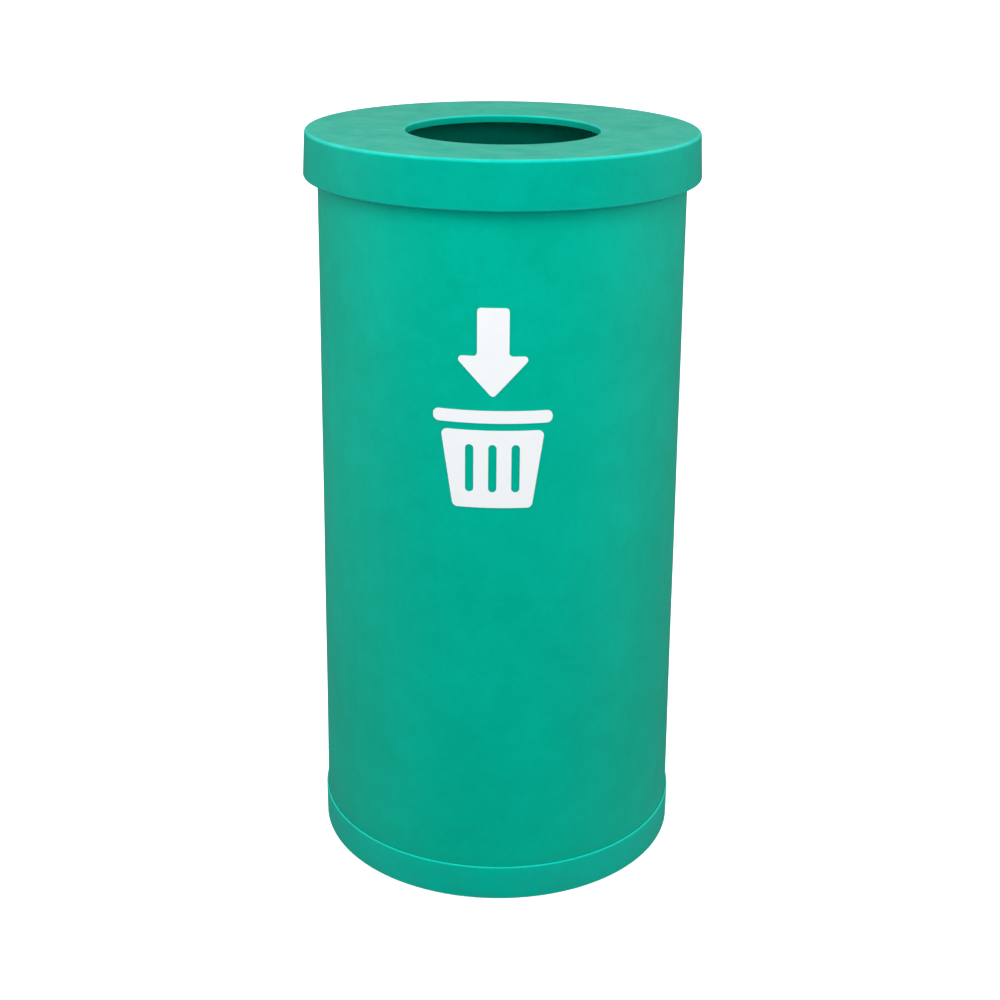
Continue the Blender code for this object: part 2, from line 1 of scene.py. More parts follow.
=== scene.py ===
"""Looks of the round litter bin: fine moulded shells, galvanised liner and fittings, and their materials.

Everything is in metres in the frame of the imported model: +Z up, origin under the middle of the base,
front towards -Y. Overall sizes are read from the model's nodes; wall thicknesses and roundings are here.
"""

from math import acos, cos, pi, radians, sin, sqrt, tan

import bmesh
import bpy
from mathutils import Matrix, Vector, noise


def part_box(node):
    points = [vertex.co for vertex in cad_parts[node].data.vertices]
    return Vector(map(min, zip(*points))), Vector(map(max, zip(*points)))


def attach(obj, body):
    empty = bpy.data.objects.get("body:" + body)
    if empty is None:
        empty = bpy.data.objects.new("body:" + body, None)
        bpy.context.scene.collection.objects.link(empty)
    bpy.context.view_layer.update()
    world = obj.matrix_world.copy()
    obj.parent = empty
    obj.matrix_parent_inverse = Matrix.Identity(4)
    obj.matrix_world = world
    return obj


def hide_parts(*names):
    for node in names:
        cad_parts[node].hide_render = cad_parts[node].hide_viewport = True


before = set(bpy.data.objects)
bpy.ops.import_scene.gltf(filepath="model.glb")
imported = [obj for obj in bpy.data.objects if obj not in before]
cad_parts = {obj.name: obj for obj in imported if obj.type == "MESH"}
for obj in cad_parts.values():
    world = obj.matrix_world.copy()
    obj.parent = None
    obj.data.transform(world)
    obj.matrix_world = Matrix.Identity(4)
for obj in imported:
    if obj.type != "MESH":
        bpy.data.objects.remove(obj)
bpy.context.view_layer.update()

# Resolution: sides of turned shells, of the lock and of small fittings, and steps of an arc
FINE = 288
LOCK_SIDES = 96
SMALL = 48
CUTTER_SIDES = 64
FILLET_STEPS = 6
LID_FILLET_STEPS = 10
LONGEST_EDGE = 0.018
SHARP_ANGLE = 38.0
STRAIGHT = 0.01

# Gaps between pieces, and a distance too small to see
GAP = 0.0003
TINY = 0.00002

# The drum's axis, as a point in plan
AXIS = (0.0, 0.0)

# Sizes read from the model
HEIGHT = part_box("lid_shell")[1].z
LID_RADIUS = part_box("lid_shell")[1].x
LID_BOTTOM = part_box("lid_shell")[0].z
DRUM_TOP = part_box("body_shell")[1].z
DRUM_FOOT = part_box("body_shell")[0].z
DRUM_RADIUS_AT_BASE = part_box("body_shell")[1].x
BASE_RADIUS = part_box("base_pan")[1].x
BASE_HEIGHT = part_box("base_pan")[1].z
LINER_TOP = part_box("liner_wall")[1].z
LINER_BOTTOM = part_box("liner_wall")[0].z
LINER_FLOOR_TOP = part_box("liner_floor")[1].z
LOCK_AXIS = (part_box("lock_nut")[0].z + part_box("lock_nut")[1].z) / 2
HANDLE_HEIGHT = (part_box("handle_saddle_left")[0].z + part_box("handle_saddle_left")[1].z) / 2

# Lid, with a skirt that flares downwards and a top that sags towards the aperture
LID_RADIUS_AT_TOP = 0.2226
LID_WALL = 0.0060
LID_TOP = 0.0075
LID_EDGE = 0.0040
LID_HEM = 0.0032
LID_HEM_INNER = 0.0020
LID_INNER_CORNER = 0.0030
APERTURE_RADIUS = 0.1101
LIP_DEPTH = 0.0086
LIP_EDGE = 0.0024
LIP_HEM = 0.0008
DISH_RADIUS = 0.2000
DISH_DEPTH = 0.0022

# Drum
DRUM_RADIUS_UNDER_LID = 0.2096
DRUM_WALL = 0.0060
RIM_THICKNESS = 0.0100
RIM_EDGE = 0.0030
SPIGOT_STEP = 0.0040
FOOT_THICKNESS = 0.0100
FOOT_WIDTH = 0.0220
NOTCH_WIDTH = 0.0220
NOTCH_BACK = 0.2095
SKIN_WAVE = 0.0005
SKIN_WAVE_SCALE = 5.5
SKIN_WAVE_FADE = 6

# Base
BASE_FLOOR = 0.0060
BASE_EDGE = 0.0017
LEDGE_DROP = 0.0030
BASE_FOOT_EDGE = 0.0032
RIBS = 3
RIB_LENGTH = 0.3400
RIB_WIDTH = 0.0060
RIB_HEIGHT = 0.0080
ANCHORS = 4
ANCHOR_CIRCLE = 0.1300
ANCHOR_START = 22.5
ANCHOR_HOLE = 0.0070
SCREWS = 6
SCREW_CIRCLE = 0.2005
SCREW_START = 30.0
SCREW_SHANK = 0.0030
SCREW_HEAD = 0.0057
SCREW_HEAD_DEPTH = 0.0027
SCREW_LENGTH = 0.0127
SCREW_SOCKET = 0.0024
SCREW_SOCKET_DEPTH = 0.0020
SCREW_SOCKET_SIDES = 6

# Liner
LINER_RADIUS = 0.1950
SHEET = 0.0012
ROLL_RADIUS = 0.0031
ROLL_WRAP = 290.0
ROLL_STEPS = 20
RIM_WIRE_SIDES = 16
BEAD_HEIGHTS = (0.560, 0.280)
BEAD_RADIUS = 0.0060
BEAD_DEPTH = 0.0030
BEAD_REACH = 60.0
BEAD_SPREAD = 1.6
BEAD_STEPS = 10
FLOOR_BEND = 0.0030
DRAINS = 5
DRAIN_CIRCLE = 0.1100
DRAIN_START = 90.0
DRAIN_HOLE = 0.0060

# Handles, saddles and rivets
HANDLE_WIRE = 0.0030
HANDLE_STANDOFF = 0.0140
HANDLE_HALF_WIDTH = 0.0450
HANDLE_DROP = 0.0480
HANDLE_CORNER = 0.0120
HANDLE_CORNER_STEPS = 10
HANDLE_ROUNDNESS = 6
SADDLE_WIDTH = 0.0360
SADDLE_HEIGHT = 0.0460
SADDLE_SHEET = 0.0015
SADDLE_BACK = 0.0016
SADDLE_CLEARANCE = 0.0006
SADDLE_STEPS = 24
RIVET_OFFSET = 0.0160
RIVET_SHANK = 0.0020
RIVET_HEAD = 0.0040
RIVET_DOME = 0.0018
RIVET_DOME_STEPS = 12
RIVET_DOME_WEAR = 0.4
RIVET_TAIL = 0.0034
RIVET_TAIL_DEPTH = 0.0012

# Lock, with depths measured outwards from the drum's axis
BARREL_HEAD_RADIUS = 0.0095
BARREL_HEAD_FRONT = 0.2243
BARREL_HEAD_BACK = 0.2228
BARREL_RADIUS = 0.0070
BARREL_BORE = 0.0053
BARREL_END = 0.2142
NUT_RADIUS = 0.0095
NUT_SIDES = 6
NUT_BORE_STEPS = 48
NUT_FRONT = 0.2166
NUT_BACK = 0.2144
PLUG_RADIUS = 0.0050
PLUG_FRONT = 0.2240
PLUG_SPIGOT = 0.0030
KEY_RADIUS = 0.0034
KEY_DEPTH = 0.0025
KEY_SIDES = 3
CAM_FRONT = 0.2139
CAM_BACK = 0.2115
CAM_PIVOT_RADIUS = 0.0060
CAM_PIVOT_STEPS = 24
CAM_TIP_RADIUS = 0.0040
CAM_TIP_STEPS = 20
CAM_HOLE_STEPS = 40
CAM_REACH = 0.0150
CAM_SCREW_HEAD = 0.0042
CAM_SCREW_HEAD_DEPTH = 0.0014
CAM_SCREW_SHANK = 0.0015
CAM_SCREW_LENGTH = 0.0060

# Pictogram on the front: a downward arrow over a bin
PICTOGRAM_X = -0.0080
VINYL_INNER = 0.0003
VINYL_OUTER = 0.0006
VINYL_SWEEP = (-120.0, -60.0)
VINYL_STEPS = 120
ARROW_TOP = 0.720
ARROW_TIP = 0.622
ARROW_SHOULDER = 0.668
ARROW_SHAFT_HALF = 0.017
ARROW_HEAD_HALF = 0.042
ARROW_CORNER = 0.004
GLYPH_RIM_TOP = 0.608
GLYPH_RIM_BOTTOM = 0.594
GLYPH_RIM_HALF = 0.064
GLYPH_BIN_TOP = 0.586
GLYPH_BIN_BOTTOM = 0.498
GLYPH_BIN_HALF_TOP = 0.056
GLYPH_BIN_HALF_BOTTOM = 0.043
GLYPH_SLOTS = (-1, 0, 1)
GLYPH_SLOT_TOP = 0.570
GLYPH_SLOT_BOTTOM = 0.516
GLYPH_SLOT_SPACING = 0.025
GLYPH_SLOT_HALF = 0.0045
GLYPH_CORNER = 0.0062
GLYPH_CORNER_STEPS = 8

# Material colours, as dark and light tones of each plastic and then what lies on it
DRUM_TONES = (0.0, 0.366, 0.244), (0.0, 0.430, 0.298)
# Dust colours, lighter than the plastics: dust, and also painted light that makes the upward faces lighter
DRUM_DUST_AND_TOP_LIGHT = (0.080, 0.440, 0.320)
# Painted shade: the lid's tones are darker than the drum's, to offset the stronger light on the lid
LID_TONES_WITH_PAINTED_SHADE = (0.0, 0.318, 0.220), (0.0, 0.376, 0.268)
LID_DUST_AND_TOP_LIGHT = (0.090, 0.435, 0.318)
# Painted light: the base's tones are lighter than the drum's, to offset the weaker light low down
BASE_TONES_WITH_PAINTED_LIGHT = (0.0, 0.395, 0.284), (0.0, 0.455, 0.334)
BASE_DUST_AND_TOP_LIGHT = (0.040, 0.440, 0.320)
PLASTIC_TINT = (0.0, 0.95, 1.0, 1.0)
SPLASHED = (0.030, 0.150, 0.105)
SCUFFED = (0.060, 0.520, 0.400)
# Worn edge colour, which is also a painted highlight along the rounded edges
WORN_AND_HIGHLIGHT = (0.010, 0.740, 0.640)
SPANGLE_TONES = (0.400, 0.418, 0.435), (0.610, 0.628, 0.642)
BLOOM = (0.640, 0.650, 0.640)
STAIN = (0.210, 0.190, 0.160)
STEEL_TONES = (0.44, 0.45, 0.46), (0.70, 0.71, 0.71)
BRASS_TONES = (0.52, 0.34, 0.12), (0.80, 0.58, 0.24)
LOCK_TONES = (0.50, 0.50, 0.51), (0.74, 0.74, 0.75)
VINYL_WHITE = (0.835, 0.865, 0.890)
VINYL_DIRT = (0.600, 0.660, 0.640)
VINYL_SCRATCH = (0.700, 0.780, 0.780)
PAPER_TONES = (0.88, 0.88, 0.88), (0.90, 0.90, 0.90)
WHITE = (1.0, 1.0, 1.0, 1.0)

# Grain of the materials, as noise and cell scales per metre
CLOUDS = 7.0
BLOTCHES = 34.0
MOTTLE = 150.0
SPECKS = 420.0
WAVES = 6.0
PEEL = 360.0
PITS = 190.0
SPANGLE = 62.0
SMALL_SPANGLE = 150.0

# Sockets of a Mix node that mixes colours
MIX_FIRST = 6
MIX_SECOND = 7
MIX_RESULT = 2

# Camera and light
CAMERA_DISTANCE = 1.8724
CAMERA_HEIGHT = 1.1477
CAMERA_SIDE = 0.0006
CAMERA_PITCH = 21.110
CAMERA_ROLL = 0.540
CAMERA_LENS = 59.02
CAMERA_SENSOR = 36.0
SKY_LEVEL = 0.52
SKY_RISE = 0.62
SKY_SIDES = 0.38
MIRROR_LEVEL = 0.68
MIRROR_RISE = 1.00
MIRROR_FRONT = 0.93
DARKEST = 0.12
KEY_PLACE = (-0.15, -1.10, 1.65)
KEY_AIM = (0.0, 0.0, 0.70)
KEY_SIZE = 0.50
KEY_POWER = 4.9
FILL_PLACE = (0.35, -2.60, 1.46)
FILL_AIM = (0.0, 0.0, 0.80)
FILL_SIZE = 0.50
FILL_POWER = 8.0
SIDE_PLACE = (1.15, -0.55, 1.15)
SIDE_AIM = (0.0, 0.0, 0.70)
SIDE_SIZE = 0.50
SIDE_POWER = 2.8
FLOOR_GLOW = 0.60
FLOOR_SIZE = 22.0

# Worked out from the above
UNDERSIDE = HEIGHT - LID_TOP
RIM_RADIUS = LID_RADIUS_AT_TOP - LID_WALL - GAP
RIM_BOTTOM = DRUM_TOP - RIM_THICKNESS
LEDGE = BASE_HEIGHT - LEDGE_DROP
SHOULDER = LEDGE + GAP
SPIGOT_RADIUS = DRUM_RADIUS_AT_BASE - SPIGOT_STEP
SPIGOT_INNER = SPIGOT_RADIUS - DRUM_WALL
BASE_INNER = SPIGOT_RADIUS + GAP
BASE_RECESS = DRUM_RADIUS_AT_BASE + GAP
LINER_INNER = LINER_RADIUS - SHEET
HANDLE_X = LINER_INNER - HANDLE_STANDOFF
SADDLE_FRONT = SADDLE_BACK + SADDLE_SHEET
ROLL_CENTRE = (LINER_INNER + ROLL_RADIUS, LINER_TOP - ROLL_RADIUS)
RIVET_HEIGHTS = (HANDLE_HEIGHT + RIVET_OFFSET, HANDLE_HEIGHT - RIVET_OFFSET)


def drum_radius(z):
    """Outer radius of the drum's drafted wall at height z."""
    slope = (DRUM_RADIUS_AT_BASE - DRUM_RADIUS_UNDER_LID) / (LID_BOTTOM - BASE_HEIGHT)
    return DRUM_RADIUS_AT_BASE - slope * (z - BASE_HEIGHT)


# Shape tools


def arc(centre, radius, start, end, steps):
    """Points of an arc about centre, with angles in degrees from the first axis towards the second."""
    angles = [radians(start + (end - start) * i / steps) for i in range(steps + 1)]
    return [(centre[0] + radius * cos(a), centre[1] + radius * sin(a)) for a in angles]


def fillet(before, corner, after, radius, steps):
    """Replaces a corner by an arc. Each point is (r, z, wear and painted highlight), with most wear and
    painted highlight at the middle of the arc.
    """
    here = Vector(corner)
    back = Vector(before) - here
    ahead = Vector(after) - here
    back.normalize()
    ahead.normalize()
    half = acos(max(-1.0, min(1.0, back.dot(ahead)))) / 2
    if radius <= 0 or half > pi / 2 - STRAIGHT:
        return [(here.x, here.y, 0.0)]
    centre = here + (back + ahead).normalized() * radius / sin(half)
    start = here + back * radius / tan(half) - centre
    end = here + ahead * radius / tan(half) - centre
    turn = start.angle_signed(end)
    convex = turn > 0
    points = []
    for i in range(steps + 1):
        t = i / steps
        spoke = start.copy()
        spoke.rotate(Matrix.Rotation(-turn * t, 2))
        wear_and_highlight = sin(pi * t) * min(1.0, turn) if convex else 0.0
        points.append((centre.x + spoke.x, centre.y + spoke.y, wear_and_highlight))
    return points


def outline(corners, closed=True, steps=FILLET_STEPS):
    """Rounds (r, z, rounding) corners and splits long straight runs. Returns (r, z, wear and painted
    highlight, skin) points.
    """
    count = len(corners)
    rounded = []
    for i, (r, z, radius) in enumerate(corners):
        if not closed and i in (0, count - 1):
            rounded.append([(r, z, 0.0)])
            continue
        before = corners[i - 1][:2]
        after = corners[(i + 1) % count][:2]
        rounded.append(fillet(before, (r, z), after, radius, steps))
    points = []
    for i, stretch in enumerate(rounded):
        points += [(*p, 0.0) for p in stretch]
        if not closed and i == count - 1:
            break
        r0, z0 = stretch[-1][:2]
        r1, z1 = rounded[(i + 1) % count][0][:2]
        parts = int(sqrt((r1 - r0) ** 2 + (z1 - z0) ** 2) / LONGEST_EDGE) + 1
        for k in range(1, parts):
            t = k / parts
            skin = min(1.0, SKIN_WAVE_FADE * t, SKIN_WAVE_FADE * (1 - t))
            points.append((r0 + (r1 - r0) * t, z0 + (z1 - z0) * t, 0.0, skin))
    return points


def plain(profile):
    """Profile points for turned, with neither wear, painted highlight nor a wavy skin, from (r, z) points.
    """
    return [(r, z, 0.0, 0.0) for r, z in profile]


def new_object(name, data):
    obj = bpy.data.objects.new(name, data)
    bpy.context.scene.collection.objects.link(obj)
    return obj


def turned(name, points, closed=True, around=FINE, wave=0.0, sweep=(0.0, 360.0)):
    """Turns (r, z, wear and painted highlight, skin) points about Z. Skin points are pressed in by up to
    wave.
    """
    full = sweep[1] - sweep[0] >= 360.0
    shape = bmesh.new()
    wear_and_highlight = shape.verts.layers.float.new("edge")
    rings = []
    for i in range(around if full else around + 1):
        a = radians(sweep[0] + (sweep[1] - sweep[0]) * i / around)
        ring = []
        for r, z, edge, skin in points:
            at = Vector((r * cos(a), r * sin(a), z))
            if wave and skin:
                press = wave * skin * (0.5 + 0.5 * noise.noise(at * SKIN_WAVE_SCALE))
                at -= Vector((cos(a), sin(a), 0.0)) * press
            vertex = shape.verts.new(at)
            vertex[wear_and_highlight] = edge
            ring.append(vertex)
        rings.append(ring)
    size = len(points)
    pairs = range(size if closed else size - 1)
    for i in range(around):
        ring = rings[i]
        following = rings[(i + 1) % len(rings)]
        for j in pairs:
            k = (j + 1) % size
            shape.faces.new((ring[j], ring[k], following[k], following[j]))
    if not full:
        shape.faces.new(rings[0])
        shape.faces.new(reversed(rings[-1]))
    bmesh.ops.remove_doubles(shape, verts=shape.verts, dist=TINY / 10)
    bmesh.ops.recalc_face_normals(shape, faces=shape.faces)
    return finish_mesh(name, shape)


def finish_mesh(name, shape):
    """Makes an object of a bmesh, smooth with sharp edges kept where faces meet steeply."""
    mesh = bpy.data.meshes.new(name)
    shape.to_mesh(mesh)
    shape.free()
    mesh.shade_smooth()
    mesh.set_sharp_from_angle(angle=radians(SHARP_ANGLE))
    return new_object(name, mesh)


def flat_piece(name, outlines, thickness):
    """Extrudes flat closed outlines to both sides of the XY plane. Inner outlines are holes."""
    curve = bpy.data.curves.new(name, "CURVE")
    curve.dimensions = "2D"
    curve.fill_mode = "BOTH"
    curve.extrude = thickness / 2
    for points in outlines:
        spline = curve.splines.new("POLY")
        spline.points.add(len(points) - 1)
        spline.use_cyclic_u = True
        for point, (x, y) in zip(spline.points, points):
            point.co = (x, y, 0.0, 1.0)
    return curve_to_mesh(name, curve)


def curve_to_mesh(name, curve):
    guide = new_object(name + "_curve", curve)
    graph = bpy.context.evaluated_depsgraph_get()
    mesh = bpy.data.meshes.new_from_object(guide.evaluated_get(graph))
    bpy.data.objects.remove(guide)
    shape = bmesh.new()
    shape.from_mesh(mesh)
    bmesh.ops.remove_doubles(shape, verts=shape.verts, dist=TINY / 10)
    bmesh.ops.recalc_face_normals(shape, faces=shape.faces)
    return finish_mesh(name, shape)


def cylinders(name, centres, radius, low, high, sides=CUTTER_SIDES):
    """One cutter of upright cylinders at the (x, y) centres."""
    shape = bmesh.new()
    for x, y in centres:
        place = Matrix.Translation((x, y, (low + high) / 2))
        bmesh.ops.create_cone(
            shape,
            cap_ends=True,
            segments=sides,
            radius1=radius,
            radius2=radius,
            depth=high - low,
            matrix=place,
        )
    return finish_mesh(name, shape)


def block(name, centre, size):
    shape = bmesh.new()
    place = Matrix.Translation(centre) @ Matrix.Diagonal((*size, 1.0))
    bmesh.ops.create_cube(shape, size=1.0, matrix=place)
    return finish_mesh(name, shape)


def combine(obj, tools, operation="DIFFERENCE"):
    """Cuts or joins the tools into the object's mesh, then removes them."""
    for tool in tools:
        modifier = obj.modifiers.new(tool.name, "BOOLEAN")
        modifier.operation = operation
        modifier.object = tool
    apply_modifiers(obj)
    for tool in tools:
        bpy.data.objects.remove(tool)


def apply_modifiers(obj):
    bpy.context.view_layer.update()
    graph = bpy.context.evaluated_depsgraph_get()
    mesh = bpy.data.meshes.new_from_object(obj.evaluated_get(graph), depsgraph=graph)
    obj.modifiers.clear()
    obj.data = mesh
    mesh.name = obj.name
    mesh.shade_smooth()
    mesh.set_sharp_from_angle(angle=radians(SHARP_ANGLE))


def soften(obj, width):
    """Rounds an object's steep edges."""
    bevel = obj.modifiers.new("rounding", "BEVEL")
    bevel.width = width
    bevel.segments = 2
    bevel.limit_method = "ANGLE"
    bevel.angle_limit = radians(SHARP_ANGLE)
    apply_modifiers(obj)


def on_circle(count, radius, start=0.0):
    """Evenly spaced (x, y) points about the axis, the first at the angle start."""
    return arc(AXIS, radius, start, start + 360.0, count)[:-1]


def on_lock_axis(obj):
    """Turns an object's own Z onto the lock's axis, which points backwards out of the skirt."""
    obj.rotation_euler = (radians(-90), 0.0, 0.0)
    obj.location = (0.0, 0.0, LOCK_AXIS)
    return obj


def across_lock_axis(obj, front, back):
    """Stands a flat object upright across the lock's axis, with its faces at the two depths."""
    obj.rotation_euler = (radians(90), 0.0, 0.0)
    obj.location = (0.0, (front + back) / 2, LOCK_AXIS)
    return obj


def piece(obj, body, materials, slot, node):
    """Gives a finished object its body and its slot with that slot's material, and hides the node it stands
    for.
    """
    obj.data.materials.clear()
    obj.data.materials.append(materials[slot])
    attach(obj, body)
    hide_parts(node)


# Materials


class Surface:
    """A node material on one Principled shader, with short calls for the nodes that feed it."""

    def __init__(self, name, **uniform):
        self.material = bpy.data.materials.new(name)
        self.material.use_nodes = True
        self.tree = self.material.node_tree
        self.shader = self.tree.nodes["Principled BSDF"]
        self.place = self.add("ShaderNodeTexCoord").outputs["Object"]
        self.height = None
        for socket, value in uniform.items():
            self.shader.inputs[socket.replace("_", " ")].default_value = value

    def add(self, kind, settings=None, **inputs):
        node = self.tree.nodes.new(kind)
        for name, value in (settings or {}).items():
            setattr(node, name, value)
        for name, value in inputs.items():
            self.feed(node.inputs[name.replace("_", " ")], value)
        return node

    def feed(self, socket, value):
        if isinstance(value, bpy.types.NodeSocket):
            self.tree.links.new(value, socket)
        else:
            socket.default_value = value

    def stretched(self, scale, turn=(0.0, 0.0, 0.0)):
        node = self.add("ShaderNodeMapping", Vector=self.place, Scale=scale, Rotation=turn)
        return node.outputs["Vector"]

    def noise(self, scale, detail=3.0, roughness=0.55, at=None):
        node = self.add(
            "ShaderNodeTexNoise", Vector=at or self.place, Scale=scale, Detail=detail, Roughness=roughness
        )
        return node.outputs["Fac"]

    def cells(self, scale, feature="F1", output="Distance", at=None):
        settings = {"feature": feature}
        node = self.add("ShaderNodeTexVoronoi", settings, Vector=at or self.place, Scale=scale)
        return node.outputs[output]

    def spread(self, value, low, high, start=0.0, end=1.0):
        """Maps value from low..high to start..end, held at both ends."""
        node = self.add("ShaderNodeMapRange", Value=value)
        for name, number in (("From Min", low), ("From Max", high), ("To Min", start), ("To Max", end)):
            node.inputs[name].default_value = number
        return node.outputs["Result"]

    def math(self, operation, first, second):
        node = self.add("ShaderNodeMath", {"operation": operation})
        self.feed(node.inputs[0], first)
        self.feed(node.inputs[1], second)
        return node.outputs["Value"]

    def mix(self, factor, first, second):
        node = self.add("ShaderNodeMix", {"data_type": "RGBA"})
        self.feed(node.inputs[0], factor)
        for index, colour in ((MIX_FIRST, first), (MIX_SECOND, second)):
            linked = isinstance(colour, bpy.types.NodeSocket)
            self.feed(node.inputs[index], colour if linked else (*colour, 1.0))
        return node.outputs[MIX_RESULT]

    def axis(self, name, of=None):
        node = self.add("ShaderNodeSeparateXYZ", Vector=of or self.place)
        return node.outputs[name]

    def edge(self):
        return self.add("ShaderNodeAttribute", {"attribute_name": "edge"}).outputs["Fac"]

    def facing_up(self):
        normal = self.add("ShaderNodeNewGeometry").outputs["Normal"]
        return self.spread(self.axis("Z", normal), 0.55, 0.98)

    def bump(self, height, distance, strength=1.0):
        node = self.add("ShaderNodeBump", Height=height, Distance=distance, Strength=strength)
        if self.height:
            self.feed(node.inputs["Normal"], self.height)
        self.height = node.outputs["Normal"]

    def done(self, **sockets):
        for name, value in sockets.items():
            self.feed(self.shader.inputs[name.replace("_", " ")], value)
        if self.height:
            self.feed(self.shader.inputs["Normal"], self.height)
        return self.material


def moulded_plastic(name, tones, dust_and_top_light, dust_and_top_light_amount):
    """Rotomoulded polyethylene: soft mottling, orange peel, pinholes, faint scuffs, paler worn edges that
    are also a painted highlight, dust on upward faces that also paints them lighter, and painted shade
    darker towards the bottom.
    """
    s = Surface(name, Specular_IOR_Level=0.4, Specular_Tint=PLASTIC_TINT)
    dark, light = tones
    cloud = s.noise(CLOUDS, 5.0, 0.62)
    blotch = s.noise(BLOTCHES, 4.0, 0.6)
    grain = s.noise(MOTTLE, 3.0, 0.6)
    tone = s.math("ADD", s.math("MULTIPLY", cloud, 0.50), s.math("MULTIPLY", blotch, 0.28))
    tone = s.math("ADD", tone, s.math("MULTIPLY", grain, 0.22))
    colour = s.mix(s.spread(tone, 0.38, 0.62), dark, light)
    # Painted shade: the colour darkens towards the bottom
    painted_low_shade = s.spread(s.axis("Z"), 0.10, 0.85, 0.16, 0.0)
    colour = s.mix(painted_low_shade, colour, [0.55 * c for c in dark])
    speck = s.spread(s.noise(SPECKS, 2.0, 0.7), 0.60, 0.80, 0.0, 0.22)
    colour = s.mix(speck, colour, [1.25 * c + 0.01 for c in light])
    # Dust on upward faces, which also paints them lighter as painted light from above
    dust_and_top_light_mask = s.math("MULTIPLY", s.facing_up(), s.spread(s.noise(24.0, 6.0, 0.75), 0.34, 0.66, 0.22, 1.0))
    colour = s.mix(s.math("MULTIPLY", dust_and_top_light_mask, dust_and_top_light_amount), colour, dust_and_top_light)
    low = s.spread(s.axis("Z"), 0.0, 0.075, 1.0, 0.0)
    splash = s.math("MULTIPLY", low, s.spread(s.noise(26.0, 6.0, 0.7), 0.42, 0.72, 0.0, 0.22))
    colour = s.mix(splash, colour, SPLASHED)
    strokes = s.noise(9.0, 6.0, 0.7, s.stretched((9.0, 9.0, 0.8), (0.5, 0.2, 0.0)))
    scuff = s.spread(strokes, 0.70, 0.78, 0.0, 0.20)
    colour = s.mix(scuff, colour, SCUFFED)
    # Paler worn edges, which are also a painted highlight along the rounded edges, and glossier there
    edge_wear_and_highlight = s.math("MULTIPLY", s.edge(), s.spread(s.noise(48.0, 5.0, 0.65), 0.30, 0.62, 0.55, 1.0))
    colour = s.mix(s.math("MULTIPLY", edge_wear_and_highlight, 0.55), colour, WORN_AND_HIGHLIGHT)
    rough = s.spread(s.noise(22.0, 4.0, 0.6), 0.3, 0.7, 0.34, 0.46)
    rough = s.math("ADD", rough, s.math("MULTIPLY", dust_and_top_light_mask, 0.10))
    rough = s.math("SUBTRACT", rough, s.math("MULTIPLY", edge_wear_and_highlight, 0.12))
    s.bump(s.noise(WAVES, 2.0), 0.0016)
    s.bump(s.noise(PEEL, 2.0, 0.5), 0.00010)
    pits = s.spread(s.cells(PITS), 0.0, 0.11, 0.0, 1.0)
    s.bump(pits, 0.00018)
    s.bump(scuff, 0.00010)
    return s.done(Base_Color=colour, Roughness=rough)


def galvanised(name):
    """Hot-dip galvanised sheet: spangle in two sizes, dull patches and a little white bloom."""
    s = Surface(name)
    flake = s.axis("X", s.cells(SPANGLE, output="Color"))
    small = s.axis("Y", s.cells(SMALL_SPANGLE, output="Color"))
    tone = s.math("ADD", s.math("MULTIPLY", flake, 0.7), s.math("MULTIPLY", small, 0.3))
    colour = s.mix(tone, *SPANGLE_TONES)
    bloom = s.spread(s.noise(11.0, 6.0, 0.68), 0.56, 0.74, 0.0, 0.65)
    colour = s.mix(bloom, colour, BLOOM)
    runs = s.noise(5.0, 7.0, 0.7, s.stretched((3.0, 3.0, 0.4)))
    stain = s.spread(runs, 0.58, 0.80, 0.0, 0.45)
    colour = s.mix(stain, colour, STAIN)
    rough = s.math("ADD", s.spread(flake, 0.0, 1.0, 0.40, 0.50), s.math("MULTIPLY", bloom, 0.30))
    s.bump(s.cells(SPANGLE, "DISTANCE_TO_EDGE"), 0.00008)
    s.bump(s.noise(SPECKS, 2.0), 0.00004)
    metal = s.spread(s.math("MAXIMUM", bloom, stain), 0.0, 1.0, 0.70, 0.30)
    return s.done(Base_Color=colour, Roughness=rough, Metallic=metal)


def plated(name, tones, grain=(1.0, 1.0, 1.0), rough=(0.22, 0.40)):
    """Plated steel or brass: fine grain along the part, slight tarnish and brighter worn edges."""
    s = Surface(name, Metallic=0.8)
    dark, light = tones
    lines = s.noise(300.0, 3.0, 0.6, s.stretched(grain))
    tarnish = s.noise(70.0, 5.0, 0.65)
    colour = s.mix(s.spread(lines, 0.3, 0.7), dark, light)
    colour = s.mix(s.spread(tarnish, 0.5, 0.75, 0.0, 0.5), colour, [0.55 * c for c in dark])
    colour = s.mix(s.math("MULTIPLY", s.edge(), 0.6), colour, [min(1.0, 1.2 * c) for c in light])
    s.bump(lines, 0.00003)
    return s.done(Base_Color=colour, Roughness=s.spread(tarnish, 0.3, 0.7, *rough))


def vinyl_film(name):
    """White cast vinyl that follows the skin below, with faint dirt and fine scratches."""
    s = Surface(name, Specular_IOR_Level=0.4)
    dirt = s.spread(s.noise(40.0, 6.0, 0.7), 0.50, 0.80, 0.0, 0.12)
    colour = s.mix(dirt, VINYL_WHITE, VINYL_DIRT)
    strokes = s.noise(14.0, 5.0, 0.7, s.stretched((1.2, 1.2, 16.0), (0.0, 0.6, 0.0)))
    scratch = s.spread(strokes, 0.70, 0.80)
    colour = s.mix(s.math("MULTIPLY", scratch, 0.12), colour, VINYL_SCRATCH)
    s.bump(s.noise(WAVES, 2.0), 0.0012)
    s.bump(s.noise(PEEL, 2.0, 0.5), 0.00006)
    rough = s.spread(s.noise(30.0, 4.0), 0.3, 0.7, 0.30, 0.42)
    return s.done(Base_Color=colour, Roughness=rough)


